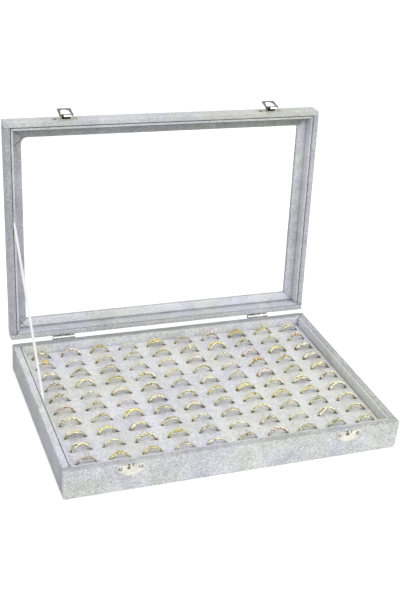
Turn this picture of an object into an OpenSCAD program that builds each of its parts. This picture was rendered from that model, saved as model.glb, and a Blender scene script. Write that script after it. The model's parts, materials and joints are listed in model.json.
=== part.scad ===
// Ring display case: a shallow velvet-covered base with a slotted foam pad, a hinged
// lid with a glass window, two small toggle latches and a ribbon that stops the lid.
// Origin at the centre of the underside, +Z up, front at -Y. The lid is drawn closed
// and then turned open about its hinge pins.

/* [Case] */
// Outside width of the case
case_w = 350; // [320:5:400]
// Outside depth of the case
case_d = 240; // [220:5:280]
// Height of the base from its underside to its rim
base_h = 32; // [30:1:40]
// Height of the lid from its rim to its top
lid_h = 18; // [17:1:26]
// Angle between the two rims when the lid rests open
open_angle = 95; // [90:1:100]
// Gap that the velvet pile leaves between the closed rims
seam_gap = 0.5; // [0.3:0.1:1]

/* [Boards] */
// Thickness of the base's walls with their velvet
wall_t = 7; // [6:0.5:9]
// Thickness of the lid's rails with their velvet
rail_t = 6; // [5:0.5:8]
// Rounding of the rims and of the outer bottom and top edges
edge_r = 1.8; // [1:0.1:2.2]
// Radius of the upright outer corners
corner_r = 2.2; // [2.2:0.1:4]
// Thickness of the floor board
floor_t = 3; // [2:0.5:4]
// Thickness of the sheet pasted under the floor board
sheet_t = 0.6; // [0.4:0.1:1]

/* [Liners] */
// Thickness of the base's liner strips
liner_t = 2.5; // [2:0.1:3.5]
// Thickness of the lid's liner strips
lid_liner_t = 2.2; // [1.6:0.1:3]
// Width of the groove between a board and its liner
groove_w = 1; // [0.8:0.1:1.5]
// How far the liners stay below the rims
liner_drop = 0.6; // [0.2:0.1:1.5]

/* [Window] */
// Width of the border round the window, from the lid's outside
border_w = 19; // [17:0.5:26]
// Thickness of the outer window frame over the glass
top_t = 2.4; // [2:0.1:3]
// Thickness of the glass
glass_t = 2; // [1.5:0.1:2.5]
// Thickness of the inner border strips
border_t = 1.6; // [1:0.1:2]
// How far the glass reaches under the frame
glass_lap = 7; // [5:0.5:8]
// Gap between the glass edge and its rebate
glass_gap = 0.4; // [0.2:0.1:0.8]
// Radius of the window's two front corners
window_r = 5; // [3:0.5:8]

/* [Pad] */
// Depth of the pad's top below the rim
pad_drop = 10; // [9.5:0.5:12]
// Thickness of the card under the pad
card_t = 1.2; // [0.8:0.1:2]
// Gap between the pad and the liners
pad_gap = 0.3; // [0.2:0.1:1]
// Rounding of the pad's upper edges
pad_r = 1.5; // [0.5:0.1:2.5]
// Rings in a row
columns = 10; // [8:1:10]
// Rows of rings
rows = 10; // [8:1:10]
// Gap between a ring and its slit, on each side
slit_gap = 0.3; // [0.2:0.1:0.5]

/* [Rings] */
// Inside diameter of the rings
ring_bore = 17.4; // [16:0.1:19]
// Thickness of a band
band_t = 1.1; // [0.9:0.1:1.5]
// Width of a narrow band
band_w = 2; // [1.6:0.1:2.4]
// Width of a wide band
wide_w = 4.4; // [3.6:0.1:5.5]
// Height of a band above the pad
ring_rise = 6.4; // [5:0.1:7]
// Radius of the small gold beads
bead_r = 0.9; // [0.7:0.1:1.1]
// Radius of a set stone
stone_r = 1.7; // [1.2:0.1:2]
// Height of a stone's collet above the band
collet_h = 1.4; // [1:0.1:1.6]
// Radius of the pearl
pearl_r = 1.6; // [1.2:0.1:1.8]

/* [Hinges] */
// Width of a hinge
hinge_w = 25; // [20:1:32]
// Distance of each hinge's middle from the case's end
hinge_inset = 58; // [50:1:75]
// Height of a hinge leaf
leaf_h = 11; // [9:0.5:12]
// Thickness of a hinge leaf
leaf_t = 0.8; // [0.6:0.1:1]
// Distance of the pin's axis behind the case
pin_off = 2.1; // [2:0.1:2.6]
// Radius of the knuckles
knuckle_r = 1.75; // [1.6:0.05:1.8]
// Radius of the hinge pin
pin_r = 0.8; // [0.6:0.05:0.9]
// Radial gap of every pin in its hole
pin_fit = 0.05; // [0.03:0.01:0.1]
// Gap between neighbouring knuckles
knuckle_gap = 0.2; // [0.1:0.05:0.4]

/* [Latches] */
// Distance of the left latch from the case's left end
latch_left_inset = 64; // [50:1:75]
// Distance of the right latch from the case's right end
latch_right_inset = 58; // [50:1:75]
// Width of a latch plate
plate_w = 25; // [22:0.5:30]
// Height of a latch plate
plate_h = 8; // [7:0.5:10]
// Thickness of the stamped plates
plate_t = 0.8; // [0.6:0.1:1]
// Height of the lever's pivot above the lid's rim
pivot_rise = 3.4; // [3.2:0.1:4]
// Distance of the lever's pivot in front of the lid
pivot_out = 2.6; // [2.5:0.1:3]
// Radius of the latch pivots
pivot_r = 0.6; // [0.5:0.05:0.7]
// Width of the lever
lever_w = 8.4; // [7:0.1:9]
// Length of the lever's straight part
lever_run = 4.6; // [4:0.1:5.5]
// Radius of the curl at the lever's tip
curl_r = 3; // [2.4:0.1:3.5]
// Distance between the lever's pivot and the loop's pivot
crank = 3.2; // [3:0.1:3.6]
// Thickness of the lever's sheet, the ears and the loop
tab_t = 0.7; // [0.6:0.05:0.8]
// Distance from the loop's pivot to the far end of its hole
loop_reach = 11.4; // [11:0.1:13]
// Width of the loop's hole between its side bars
eye_w = 10.8; // [10.8:0.1:12]
// Width of the loop's side bars
bar_w = 1.9; // [1.4:0.1:2.2]
// Width of the loop's far bar
far_w = 1.4; // [1.2:0.1:2.4]
// Angle of the resting lever, from lying flat on the lid
lever_rest = 125; // [120:1:145]
// Angle of the resting loop, from lying flat on the lid
loop_rest = 16; // [15:1:60]

/* [Strikes] */
// Width of a strike plate
strike_w = 27.6; // [24:0.2:32]
// Height of a strike plate
strike_h = 12.4; // [11:0.2:14]
// Radius of the strike plate's lower arc
strike_arc = 16; // [14.5:0.5:22]
// Width of the hook
hook_w = 3.6; // [3:0.1:4.2]
// Gap between the hook and the closed loop
hook_gap = 0.15; // [0.1:0.05:0.3]

/* [Nails] */
// Radius of a nail's shank
nail_r = 0.5; // [0.4:0.05:0.7]
// Radius of a nail's head
nail_head_r = 1.2; // [1:0.1:1.4]
// Height of a nail's head
nail_head_h = 0.6; // [0.4:0.1:0.8]
// Length of a nail's shank
nail_len = 4.6; // [3:0.2:5]

/* [Ribbon] */
// Width of the ribbon
ribbon_w = 3.2; // [2.5:0.1:5]
// Thickness of the ribbon
ribbon_t = 0.4; // [0.3:0.05:0.6]
// Distance of the ribbon's lid end from the hinge pins
ribbon_lid = 141; // [110:1:150]
// Distance of the ribbon's base end from the hinge pins
ribbon_base = 127; // [110:1:150]
// Length of the ribbon held in each groove
ribbon_tail = 8; // [5:0.5:10]

/* [Hidden] */
$fn = 48;

velvet = [0.80, 0.80, 0.83];
velvet_shade = [0.66, 0.67, 0.70];
pad_velvet = [0.82, 0.82, 0.87];
nickel = [0.55, 0.54, 0.48];
pale_nickel = [0.86, 0.84, 0.76];
gold = [0.93, 0.78, 0.42];

// Heights in the base
floor_top = sheet_t + floor_t;
card_top = floor_top + card_t;
pad_top = base_h - pad_drop;
// Inside half sizes of the base's walls, of its liners and of the pad
wall_in = [case_w / 2 - wall_t, case_d / 2 - wall_t];
liner_out = wall_in - [groove_w, groove_w];
pad_half = liner_out - [liner_t + pad_gap, liner_t + pad_gap];
// The lid's rim when closed, and the hinge axis
rim_z = base_h + seam_gap;
axis_y = case_d / 2 + pin_off;
axis_z = base_h + seam_gap / 2;
// Inside half sizes of the lid's rails, of its liners and of the window
rail_in = [case_w / 2 - rail_t, case_d / 2 - rail_t];
lid_liner_out = rail_in - [groove_w, groove_w];
window_half = [case_w / 2 - border_w, case_d / 2 - border_w];
glass_half = window_half + [glass_lap, glass_lap];
// Heights of the glass and of the border strips in the closed lid
glass_z = rim_z + lid_h - top_t - glass_t;
border_z = glass_z - border_t;
// Rings: outside radius, centre height, and the slit that holds the lower half
ring_or = ring_bore / 2 + band_t;
ring_z = pad_top + ring_rise - ring_or;
slit_w = 2 * (ring_or + slit_gap);
slit_t = band_w + 2 * slit_gap;
slit_floor = ring_z - ring_or - slit_gap;
pitch = [2 * pad_half[0] / columns, 2 * pad_half[1] / rows];
// Half the angle over which a band shows above the pad
show_a = acos((pad_top + slit_gap - ring_z) / (ring_or - band_t));
band_mid = ring_or - band_t / 2;
// Shares of the visible arc that wide, crossed and double tops cover
wide_share = 0.9;
crossed_share = 0.72;
double_share = 0.8;
// Each of a double ring's two bands, and how far each stands off the middle
double_w = band_w * 0.7;
double_off = band_w * 0.75;
// Wires of the crossed rings: thickness, how much shows above the band, and skew angle
wire_t = band_t * 1.1;
wire_proud = 0.1 * wire_t;
wire_skew = 13;
// Angles between beads along a band, and between a crown's stalks
bead_step = 12;
crown_step = 15;
// Balls of a crown: the middle one's radius, and what each step outward takes off it
crown_r = bead_r * 1.35;
crown_less = bead_r * 0.18;
crown_lift = bead_r * 0.7;
// A cluster's middle bead, and how high its outer beads stand on the band
cluster_r = bead_r * 1.5;
cluster_rise = band_t * 0.8;
cluster_squash = 0.9;
// Stones, collets and petals
collet_foot_r = stone_r * 0.6;
stone_top_r = stone_r * 0.6;
stone_h = stone_r * 0.6;
petal_r = stone_r * 0.75;
petal_h = stone_r * 0.5;
flower_r = stone_r * 0.7;
// The pearl sinks a little into its cup
pearl_z = ring_or + 0.7 * pearl_r;
pearl_cup_r = pearl_r * 0.8;
pearl_gap = slit_gap / 15;
// Beads are small, so they are drawn with fewer facets
bead_facets = 16;
// Which design stands in each slit, one line for each row from the back:
// p plain, w wide, x crossed wires, b beads, c cluster, s clear stone, r crown, d double,
// A amber, P pearl, F pink flower, B red flower
ring_rows = [
    "cxcpdcPwsd",
    "AppsbrxcsF",
    "wcbppwpwww",
    "cxbxpbpBsw",
    "cpwbswswcw",
    "bcpwbxwxdb",
    "xcxbwbxxxx",
    "dwwbpbxscx",
    "xpxrspcpxb",
    "cxxspcxbcr"
];
// Knuckles of a hinge, odd ones on the base leaf
knuckles = 5;
knuckle_len = hinge_w / knuckles;
knuckle_clear = 0.3;
leaf_nail_x = 0.3 * hinge_w;
leaf_nail_z = 0.64 * leaf_h;
hinge_x = case_w / 2 - hinge_inset;
pin_proud = 0.3;
// Latch: ears, eyes and the latched loop
latch_left = case_w / 2 - latch_left_inset;
latch_right = case_w / 2 - latch_right_inset;
side_gap = 0.3;
ear_r = 1.45;
ear_x = lever_w / 2 + side_gap + tab_t / 2;
eye_r = 1.25;
eye_x = (eye_w + bar_w) / 2;
plate_rise = edge_r + plate_h / 2;
plate_nail_in = 2.4;
plate_nail_x = plate_w / 2 - plate_nail_in;
pivot_proud = 0.1;
loop_corner = 1;
hook_room = 1.7;
bar_out = plate_t + hook_room / 2;
latched_tilt = asin((pivot_out - bar_out) / (loop_reach + far_w / 2));
// The loop's hole narrows to an arch past the ears' reach; the lever fits inside the arch
arch_gap = 0.5;
arch_w = lever_w + 2 * arch_gap;
neck_z = crank + ear_r + side_gap;
// The hook sits above the loop's far bar, whose inner edge is the arch
arch_sag = arch_w / 2 - sqrt(pow(arch_w / 2, 2) - pow(hook_w / 2, 2));
hook_z = rim_z + pivot_rise + crank - loop_reach * cos(latched_tilt) + arch_sag + hook_gap;
hook_t = 0.9;
hook_drop = 1.6;
// Hole that the hook was bent out of
hook_hole = 2.6;
// Strike plate: its lobes are level with the nails
lobe_r = 3.6;
lobe_x = strike_w / 2 - lobe_r;
strike_over = 1;
strike_top = hook_z + hook_t + strike_over;
strike_low = strike_top - strike_h;
lobe_z = strike_top - lobe_r;
// Height of the ribbon's glued ends above or below the rims, and of its twisted parts
ribbon_proud = 1.5 * ribbon_t;
ribbon_twist = 2.8 * ribbon_w;
// How far a cutter reaches past what it cuts
over = 1;

// ---------- shared shapes ----------

// Section of a board: rim at the top with both edges rounded, outer foot edge rounded
module board_section(t, h, rim_r, foot_r) {
    translate([0, foot_r]) square([t, h - foot_r - rim_r]);
    square([t - foot_r, h - rim_r]);
    translate([t - foot_r, foot_r]) circle(foot_r);
    translate([rim_r, h - 2 * rim_r]) square([t - 2 * rim_r, 2 * rim_r]);
    for (u = [rim_r, t - rim_r]) translate([u, h - rim_r]) circle(rim_r);
}

// A straight run along the side that faces the given angle
module run(turn, reach, length) {
    rotate([0, 0, turn]) translate([reach, length / 2, 0])
        rotate([90, 0, 0]) linear_extrude(length) children();
}

// The outermost part of a section of thickness t, drawn outward from the corner's pivot
module lip(t) {
    intersection() {
        translate([corner_r - t, 0]) children();
        square([corner_r, rim_z + lid_h]);
    }
}

// The square corner between two boards, with its upright edge rounded;
// sx and sy are the corner's signs
module corner(inner, t, low, high, sx, sy) {
    inside = t - corner_r;
    turn = sx > 0 ? (sy > 0 ? 0 : 270) : (sy > 0 ? 90 : 180);
    translate([sx * inner[0], sy * inner[1], 0]) rotate([0, 0, turn]) {
        translate([0, 0, low]) cube([inside, inside, high - low]);
        translate([inside, inside, 0]) {
            rotate_extrude(angle = 90) lip(t) children();
            rotate([90, 0, 0]) linear_extrude(inside) lip(t) children();
        }
        translate([0, inside, 0]) rotate([90, 0, 90]) linear_extrude(inside) lip(t) children();
    }
}

// A front (-1) or back (1) board with its two corners
module end_board(inner, t, low, high, sy) {
    run(sy * 90, inner[1], 2 * inner[0]) children();
    for (sx = [-1, 1]) corner(inner, t, low, high, sx, sy) children();
}

module side_board(inner, sx) {
    run(sx > 0 ? 0 : 180, inner[0], 2 * inner[1]) children();
}

module base_section() {
    board_section(wall_t, base_h, edge_r, edge_r);
}

module rail_section() {
    translate([0, rim_z + lid_h]) mirror([0, 1]) board_section(rail_t, lid_h, edge_r, edge_r);
}

// Liner strip standing between foot and top, rounded along its free edge
module liner_section(t, foot, top, r) {
    translate([-t, foot]) square([t, top - r - foot]);
    translate([r - t, top - 2 * r]) square([t - 2 * r, 2 * r]);
    for (u = [r - t, -r]) translate([u, top - r]) circle(r);
}

module base_liner_section() {
    liner_section(liner_t, floor_top, base_h - liner_drop, liner_t * 0.4);
}

module lid_liner_section() {
    translate([0, 2 * rim_z]) mirror([0, 1])
        liner_section(lid_liner_t, 2 * rim_z - border_z, rim_z - liner_drop, lid_liner_t * 0.4);
}

// Drawn in the (y, z) plane and extruded to both sides along X
module across(length) {
    rotate([90, 0, 90]) translate([0, 0, -length / 2]) linear_extrude(length) children();
}

module rod(r, length) {
    rotate([0, 90, 0]) cylinder(r = r, h = length, center = true);
}

// A round-headed nail driven along +Y; its head stands in front of the origin
module nail(through) {
    rotate([-90, 0, 0]) cylinder(r = nail_r, h = nail_len + through);
    intersection() {
        translate([0, (nail_head_r * nail_head_r - nail_head_h * nail_head_h) / (2 * nail_head_h), 0])
            sphere((nail_head_r * nail_head_r + nail_head_h * nail_head_h) / (2 * nail_head_h));
        rotate([90, 0, 0]) cylinder(r = nail_head_r + over, h = nail_head_h + over);
    }
}

// Turns what is drawn closed into the open lid
module lid_pose() {
    translate([0, axis_y, axis_z]) rotate([-open_angle, 0, 0])
        translate([0, -axis_y, -axis_z]) children();
}

// ---------- base ----------

module front_wall() { color(velvet) end_board(wall_in, wall_t, 0, base_h, -1) base_section(); }
module back_wall() { color(velvet) end_board(wall_in, wall_t, 0, base_h, 1) base_section(); }
module left_wall() { color(velvet) side_board(wall_in, -1) base_section(); }
module right_wall() { color(velvet) side_board(wall_in, 1) base_section(); }

module flat_block(half, z, t) {
    translate([-half[0], -half[1], z]) cube([2 * half[0], 2 * half[1], t]);
}

module floor_board() { color([0.72, 0.6, 0.45]) flat_block(wall_in, sheet_t, floor_t); }
module bottom_sheet() { color(velvet_shade) flat_block(wall_in, 0, sheet_t); }
module pad_card() { color([0.85, 0.83, 0.78]) flat_block(pad_half, floor_top, card_t); }

module front_liner() { color(velvet) run(270, liner_out[1], 2 * liner_out[0]) base_liner_section(); }
module back_liner() { color(velvet) run(90, liner_out[1], 2 * liner_out[0]) base_liner_section(); }
module side_liner(sx) {
    run(sx > 0 ? 0 : 180, liner_out[0], 2 * (liner_out[1] - liner_t)) base_liner_section();
}
module left_liner() { color(velvet) side_liner(-1); }
module right_liner() { color(velvet) side_liner(1); }

// Section of the pad with its upper edges rounded, for one direction
module pad_section(half) {
    translate([-half, card_top]) square([2 * half, pad_top - pad_r - card_top]);
    translate([pad_r - half, card_top]) square([2 * (half - pad_r), pad_top - card_top]);
    for (s = [-1, 1]) translate([s * (half - pad_r), pad_top - pad_r]) circle(pad_r);
}

function slot_x(c) = (c - (columns - 1) / 2) * pitch[0];
// Row 0 is the back row
function slot_y(r) = ((rows - 1) / 2 - r) * pitch[1];

module slotted_pad() {
    color(pad_velvet) difference() {
        intersection() {
            run(0, 0, 2 * pad_half[1]) pad_section(pad_half[0]);
            run(90, 0, 2 * pad_half[0]) pad_section(pad_half[1]);
        }
        for (c = [0:columns - 1], r = [0:rows - 1])
            translate([slot_x(c) - slit_w / 2, slot_y(r) - slit_t / 2, slit_floor])
                cube([slit_w, slit_t, pad_drop + pad_top]);
    }
}

// ---------- rings ----------

// Chamfered band section, drawn at the ring's radius
module band_section(w, t) {
    bevel = 0.3 * t;
    translate([ring_or - band_t, 0]) polygon([
        [0, -w / 2 + bevel], [bevel, -w / 2], [t - bevel, -w / 2], [t, -w / 2 + bevel],
        [t, w / 2 - bevel], [t - bevel, w / 2], [bevel, w / 2], [0, w / 2 - bevel]
    ]);
}

// An upright full band about its own centre, with its hole along Y
module shank() {
    rotate([90, 0, 0]) rotate_extrude() band_section(band_w, band_t);
}

// Part of a band either side of its top
module top_arc(half_a, w, t) {
    rotate([90, 0, 0]) rotate([0, 0, 90 - half_a]) rotate_extrude(angle = 2 * half_a)
        band_section(w, t);
}

// A point on the band's middle, at an angle from the top
function on_band(a, out = 0) = [(band_mid + out) * sin(a), 0, (band_mid + out) * cos(a)];

module plain_ring() { shank(); }

module wide_ring() {
    shank();
    top_arc(show_a * wide_share, wide_w, band_t);
}

// Two wires that cross over the band's top
module crossed_ring() {
    shank();
    half_a = show_a * crossed_share;
    for (s = [-1, 1]) rotate([90, 0, s * wire_skew]) rotate([0, 0, 90 - half_a])
        rotate_extrude(angle = 2 * half_a) translate([ring_or + wire_proud - wire_t / 2, 0])
            square(wire_t, center = true);
}

module beaded_ring() {
    shank();
    for (k = [-3:3]) translate(on_band(k * bead_step, band_t / 2)) sphere(bead_r, $fn = bead_facets);
}

module cluster_ring() {
    shank();
    translate(on_band(0, band_t)) sphere(cluster_r, $fn = bead_facets);
    for (k = [0:5])
        translate(on_band(0, cluster_rise)
            + 2 * bead_r * [cos(60 * k), cluster_squash * sin(60 * k), 0])
            sphere(bead_r, $fn = bead_facets);
}

// A collet that widens from the band; the stone lies on its mouth
module solitaire_ring() {
    shank();
    translate([0, 0, ring_or - band_t / 2])
        cylinder(r1 = collet_foot_r, r2 = stone_r, h = collet_h + band_t / 2);
}

module pearl_ring() {
    difference() {
        union() {
            shank();
            translate([0, 0, ring_or - band_t / 2]) cylinder(r = pearl_cup_r, h = band_t);
        }
        translate([0, 0, pearl_z]) sphere(pearl_r + pearl_gap);
    }
}

// Five balls on stalks, the highest in the middle
module crown_ring() {
    shank();
    for (k = [-2:2]) {
        lift = (2 - abs(k)) * crown_lift;
        translate(on_band(k * crown_step, band_t / 2 + lift))
            sphere(crown_r - abs(k) * crown_less, $fn = bead_facets);
        translate(on_band(k * crown_step)) rotate([0, k * crown_step, 0])
            cylinder(r = crown_lift, h = band_t / 2 + lift);
    }
}

module double_ring() {
    shank();
    for (s = [-1, 1]) translate([0, s * double_off, 0])
        top_arc(show_a * double_share, double_w, band_t);
}

module at_slot(c, r) {
    translate([slot_x(c), slot_y(r), ring_z]) children();
}

// What is drawn stands in every slit whose design is one of the letters
module in_slits(letters) {
    for (c = [0:columns - 1], r = [0:rows - 1], k = letters)
        if (ring_rows[r][c] == k) at_slot(c, r) children();
}

module plain_rings() { color(gold) in_slits(["p"]) plain_ring(); }
module wide_rings() { color(gold) in_slits(["w"]) wide_ring(); }
module crossed_rings() { color(gold) in_slits(["x"]) crossed_ring(); }
module beaded_rings() { color(gold) in_slits(["b"]) beaded_ring(); }
module cluster_rings() { color(gold) in_slits(["c"]) cluster_ring(); }
module solitaire_rings() {
    color(gold) {
        in_slits(["s", "A", "F", "B"]) solitaire_ring();
        in_slits(["P"]) pearl_ring();
    }
}
module crown_rings() { color(gold) in_slits(["r"]) crown_ring(); }
module double_rings() { color(gold) in_slits(["d"]) double_ring(); }

// A cut stone with its flat face on the collet
module stone() {
    translate([0, 0, ring_or + collet_h]) cylinder(r1 = stone_r, r2 = stone_top_r, h = stone_h);
}

module clear_stones() { color([0.9, 0.93, 0.96]) in_slits(["s"]) stone(); }
module amber_stone() { color([0.93, 0.62, 0.12]) in_slits(["A"]) stone(); }
module pearl() { color([0.96, 0.95, 0.92]) in_slits(["P"]) translate([0, 0, pearl_z]) sphere(pearl_r); }

// Five petals round a middle, standing on the collet
module blossom() {
    translate([0, 0, ring_or + collet_h]) {
        cylinder(r = flower_r, h = flower_r);
        for (k = [0:4]) rotate([0, 0, 72 * k]) translate([stone_r, 0, 0])
            cylinder(r = petal_r, h = petal_h);
    }
}

module rose_stones() { color([0.87, 0.42, 0.45]) in_slits(["F", "B"]) blossom(); }

// ---------- lid ----------

module end_rail(sy) {
    color(velvet) lid_pose() end_board(rail_in, rail_t, rim_z, rim_z + lid_h, sy) rail_section();
}
module lid_front_rail() { end_rail(-1); }
module lid_back_rail() { end_rail(1); }
module lid_left_rail() { color(velvet) lid_pose() side_board(rail_in, -1) rail_section(); }
module lid_right_rail() { color(velvet) lid_pose() side_board(rail_in, 1) rail_section(); }

// Frame section with a rebate for the glass; u = 0 is the rail's inner face
rebate_w = border_w - glass_lap - rail_t - glass_gap;
module frame_section() {
    translate([rail_t - border_w, glass_z + glass_t]) square([border_w - rail_t, top_t]);
    translate([-rebate_w, glass_z]) square([rebate_w, glass_t + top_t]);
}

// Fillets that round the window's front corners; each belongs to a side strip
module corner_fillet(sx, z, t) {
    translate([sx * window_half[0], -window_half[1], z]) mirror([sx > 0 ? 1 : 0, 0, 0])
        linear_extrude(t) difference() {
            square(window_r);
            translate([window_r, window_r]) circle(window_r);
        }
}

module end_frame(sy) { color(velvet) lid_pose() run(sy * 90, rail_in[1], 2 * rail_in[0]) frame_section(); }

// A side strip is cut square where it meets the rebated ends
module side_frame(sx) {
    color(velvet) lid_pose() {
        intersection() {
            run(sx > 0 ? 0 : 180, rail_in[0], 2 * (rail_in[1] - rebate_w)) frame_section();
            union() {
                flat_block([case_w, window_half[1]], glass_z, glass_t + top_t);
                flat_block([case_w, rail_in[1] - rebate_w], glass_z, glass_t);
            }
        }
        corner_fillet(sx, glass_z + glass_t, top_t);
    }
}

module window_front_frame() { end_frame(-1); }
module window_back_frame() { end_frame(1); }
module window_left_frame() { side_frame(-1); }
module window_right_frame() { side_frame(1); }

module glass_pane() {
    color([0.85, 0.92, 0.93, 0.35]) lid_pose() flat_block(glass_half, glass_z, glass_t);
}

// A border strip with mitred ends, from the rail's inner face to the window
module border_strip(turn, out_reach, out_half, in_half) {
    lid_pose() translate([0, 0, border_z]) rotate([0, 0, turn]) linear_extrude(border_t) polygon([
        [out_reach, -out_half], [out_reach, out_half],
        [out_reach - border_w + rail_t, in_half], [out_reach - border_w + rail_t, -in_half]
    ]);
}

module side_border(sx) {
    color(velvet_shade) {
        border_strip(sx > 0 ? 0 : 180, rail_in[0], rail_in[1], window_half[1]);
        lid_pose() corner_fillet(sx, border_z, border_t);
    }
}

module front_border() { color(velvet_shade) border_strip(270, rail_in[1], rail_in[0], window_half[0]); }
module back_border() { color(velvet_shade) border_strip(90, rail_in[1], rail_in[0], window_half[0]); }
module left_border() { side_border(-1); }
module right_border() { side_border(1); }

module lid_end_liner(turn) {
    color(velvet) lid_pose() run(turn, lid_liner_out[1], 2 * lid_liner_out[0]) lid_liner_section();
}
module lid_side_liner(turn) {
    color(velvet) lid_pose() run(turn, lid_liner_out[0], 2 * (lid_liner_out[1] - lid_liner_t))
        lid_liner_section();
}
module lid_front_liner() { lid_end_liner(270); }
module lid_back_liner() { lid_end_liner(90); }
module lid_left_liner() { lid_side_liner(180); }
module lid_right_liner() { lid_side_liner(0); }

// ---------- hinges ----------

// One leaf drawn hanging below the axis; own is 0 for the base's knuckles, 1 for the lid's
module leaf(own) {
    difference() {
        union() {
            translate([-hinge_w / 2, -pin_off, -leaf_h]) cube([hinge_w, leaf_t, leaf_h]);
            rod(knuckle_r, hinge_w);
        }
        rod(pin_r + pin_fit, hinge_w + over);
        for (k = [0:knuckles - 1]) if (k % 2 != own)
            translate([
                -hinge_w / 2 + k * knuckle_len - (k == 0 ? over : knuckle_gap / 2),
                -2 * pin_off,
                -knuckle_r - knuckle_clear
            ])
                cube([
                    knuckle_len + (k == 0 || k == knuckles - 1 ? over : knuckle_gap),
                    4 * pin_off,
                    2 * (knuckle_r + knuckle_clear)
                ]);
        for (s = [-1, 1]) translate([s * leaf_nail_x, -pin_off - over, -leaf_nail_z])
            rotate([-90, 0, 0]) cylinder(r = nail_r + pin_fit, h = leaf_t + 2 * over);
    }
}

module at_hinge(sx) { translate([sx * hinge_x, axis_y, axis_z]) children(); }

module left_base_leaf() { color(pale_nickel) at_hinge(-1) leaf(0); }
module right_base_leaf() { color(pale_nickel) at_hinge(1) leaf(0); }
module left_lid_leaf() { color(pale_nickel) lid_pose() at_hinge(-1) mirror([0, 0, 1]) leaf(1); }
module right_lid_leaf() { color(pale_nickel) lid_pose() at_hinge(1) mirror([0, 0, 1]) leaf(1); }
module hinge_pins() { color(nickel) for (sx = [-1, 1]) at_hinge(sx) rod(pin_r, hinge_w + 2 * pin_proud); }

// ---------- latches ----------

// The latch's frame: the lid's front face at the closed rim
module at_latch(x) { translate([x, -case_d / 2, rim_z]) children(); }

module stadium(w, h) {
    square([w - h, h], center = true);
    for (s = [-1, 1]) translate([s * (w - h) / 2, 0]) circle(h / 2);
}

module latch_plate() {
    difference() {
        union() {
            translate([0, 0, plate_rise]) rotate([90, 0, 0]) linear_extrude(plate_t)
                stadium(plate_w, plate_h);
            for (s = [-1, 1]) translate([s * ear_x, 0, 0]) across(tab_t) {
                translate([-pivot_out, pivot_rise]) circle(ear_r);
                translate([-pivot_out, pivot_rise - ear_r])
                    square([pivot_out - plate_t / 2, 2 * ear_r]);
            }
        }
        translate([0, -pivot_out, pivot_rise]) rod(pivot_r + pin_fit, plate_w);
        for (s = [-1, 1]) translate([s * plate_nail_x, over, plate_rise])
            rotate([90, 0, 0]) cylinder(r = nail_r + pin_fit, h = plate_t + 2 * over);
    }
}

// Moves the lever's own frame to its pivot and turns it to its resting angle
module lever_pose() {
    translate([0, -pivot_out, pivot_rise]) rotate([lever_rest, 0, 0]) children();
}

// Channel-shaped lever with a curled tip; it lies along +Z when latched
module lever() {
    roof_out = ear_r + tab_t / 2;
    difference() {
        union() {
            for (s = [-1, 1]) translate([s * (lever_w - tab_t) / 2, 0, 0]) across(tab_t) {
                circle(ear_r);
                translate([0, crank]) circle(eye_r);
                translate([-eye_r, 0]) square([2 * eye_r, crank]);
                translate([-roof_out + tab_t / 2, 0]) square([roof_out - tab_t, crank]);
            }
            across(lever_w) {
                translate([-roof_out, 0]) square([tab_t, lever_run]);
                translate([-roof_out - curl_r + tab_t, lever_run]) intersection() {
                    difference() {
                        circle(curl_r);
                        circle(curl_r - tab_t);
                    }
                    polygon([[0, 0], [2 * curl_r, 0], [2 * curl_r, 2 * curl_r], [curl_r, 1.5 * curl_r]]);
                }
            }
        }
        rod(pivot_r + pin_fit, plate_w);
        translate([0, 0, crank]) rod(pivot_r + pin_fit, plate_w);
    }
}

// Flat stamped loop with an arched hole and an eye on each side bar
module loop() {
    arch_r = arch_w / 2;
    half = eye_w / 2 + bar_w;
    difference() {
        union() {
            translate([0, tab_t / 2, 0]) rotate([90, 0, 0]) linear_extrude(tab_t) difference() {
                union() {
                    translate([-half, 0]) square([2 * half, loop_reach + far_w - loop_corner]);
                    translate([loop_corner - half, 0])
                        square([2 * (half - loop_corner), loop_reach + far_w]);
                    for (s = [-1, 1])
                        translate([s * (half - loop_corner), loop_reach + far_w - loop_corner])
                            circle(loop_corner);
                }
                translate([-eye_w / 2, -over]) square([eye_w, neck_z + over]);
                translate([-arch_r, 0]) square([arch_w, loop_reach - arch_r]);
                translate([0, loop_reach - arch_r]) circle(arch_r);
            }
            for (s = [-1, 1]) translate([s * eye_x, 0, 0]) rod(eye_r, bar_w);
        }
        rod(pivot_r + pin_fit, 2 * half + over);
    }
}

// The loop's frame at its pivot on the resting lever
module loop_pose() {
    lever_pose() translate([0, 0, crank]) rotate([loop_rest - lever_rest, 0, 0]) children();
}

module left_latch_plate() { color(nickel) lid_pose() at_latch(-latch_left) latch_plate(); }
module right_latch_plate() { color(nickel) lid_pose() at_latch(latch_right) latch_plate(); }
module left_lever() { color(nickel) lid_pose() at_latch(-latch_left) lever_pose() lever(); }
module right_lever() { color(nickel) lid_pose() at_latch(latch_right) lever_pose() lever(); }
module left_loop() { color(nickel) lid_pose() at_latch(-latch_left) loop_pose() loop(); }
module right_loop() { color(nickel) lid_pose() at_latch(latch_right) loop_pose() loop(); }

// ---------- strikes ----------

module strike_outline() {
    intersection() {
        translate([0, strike_low + strike_arc]) circle(strike_arc);
        translate([-strike_w / 2, strike_low]) square([strike_w, strike_h - lobe_r]);
    }
    translate([-lobe_x, lobe_z - lobe_r]) square([2 * lobe_x, 2 * lobe_r]);
    for (s = [-1, 1]) translate([s * lobe_x, lobe_z]) circle(lobe_r);
}

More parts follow.
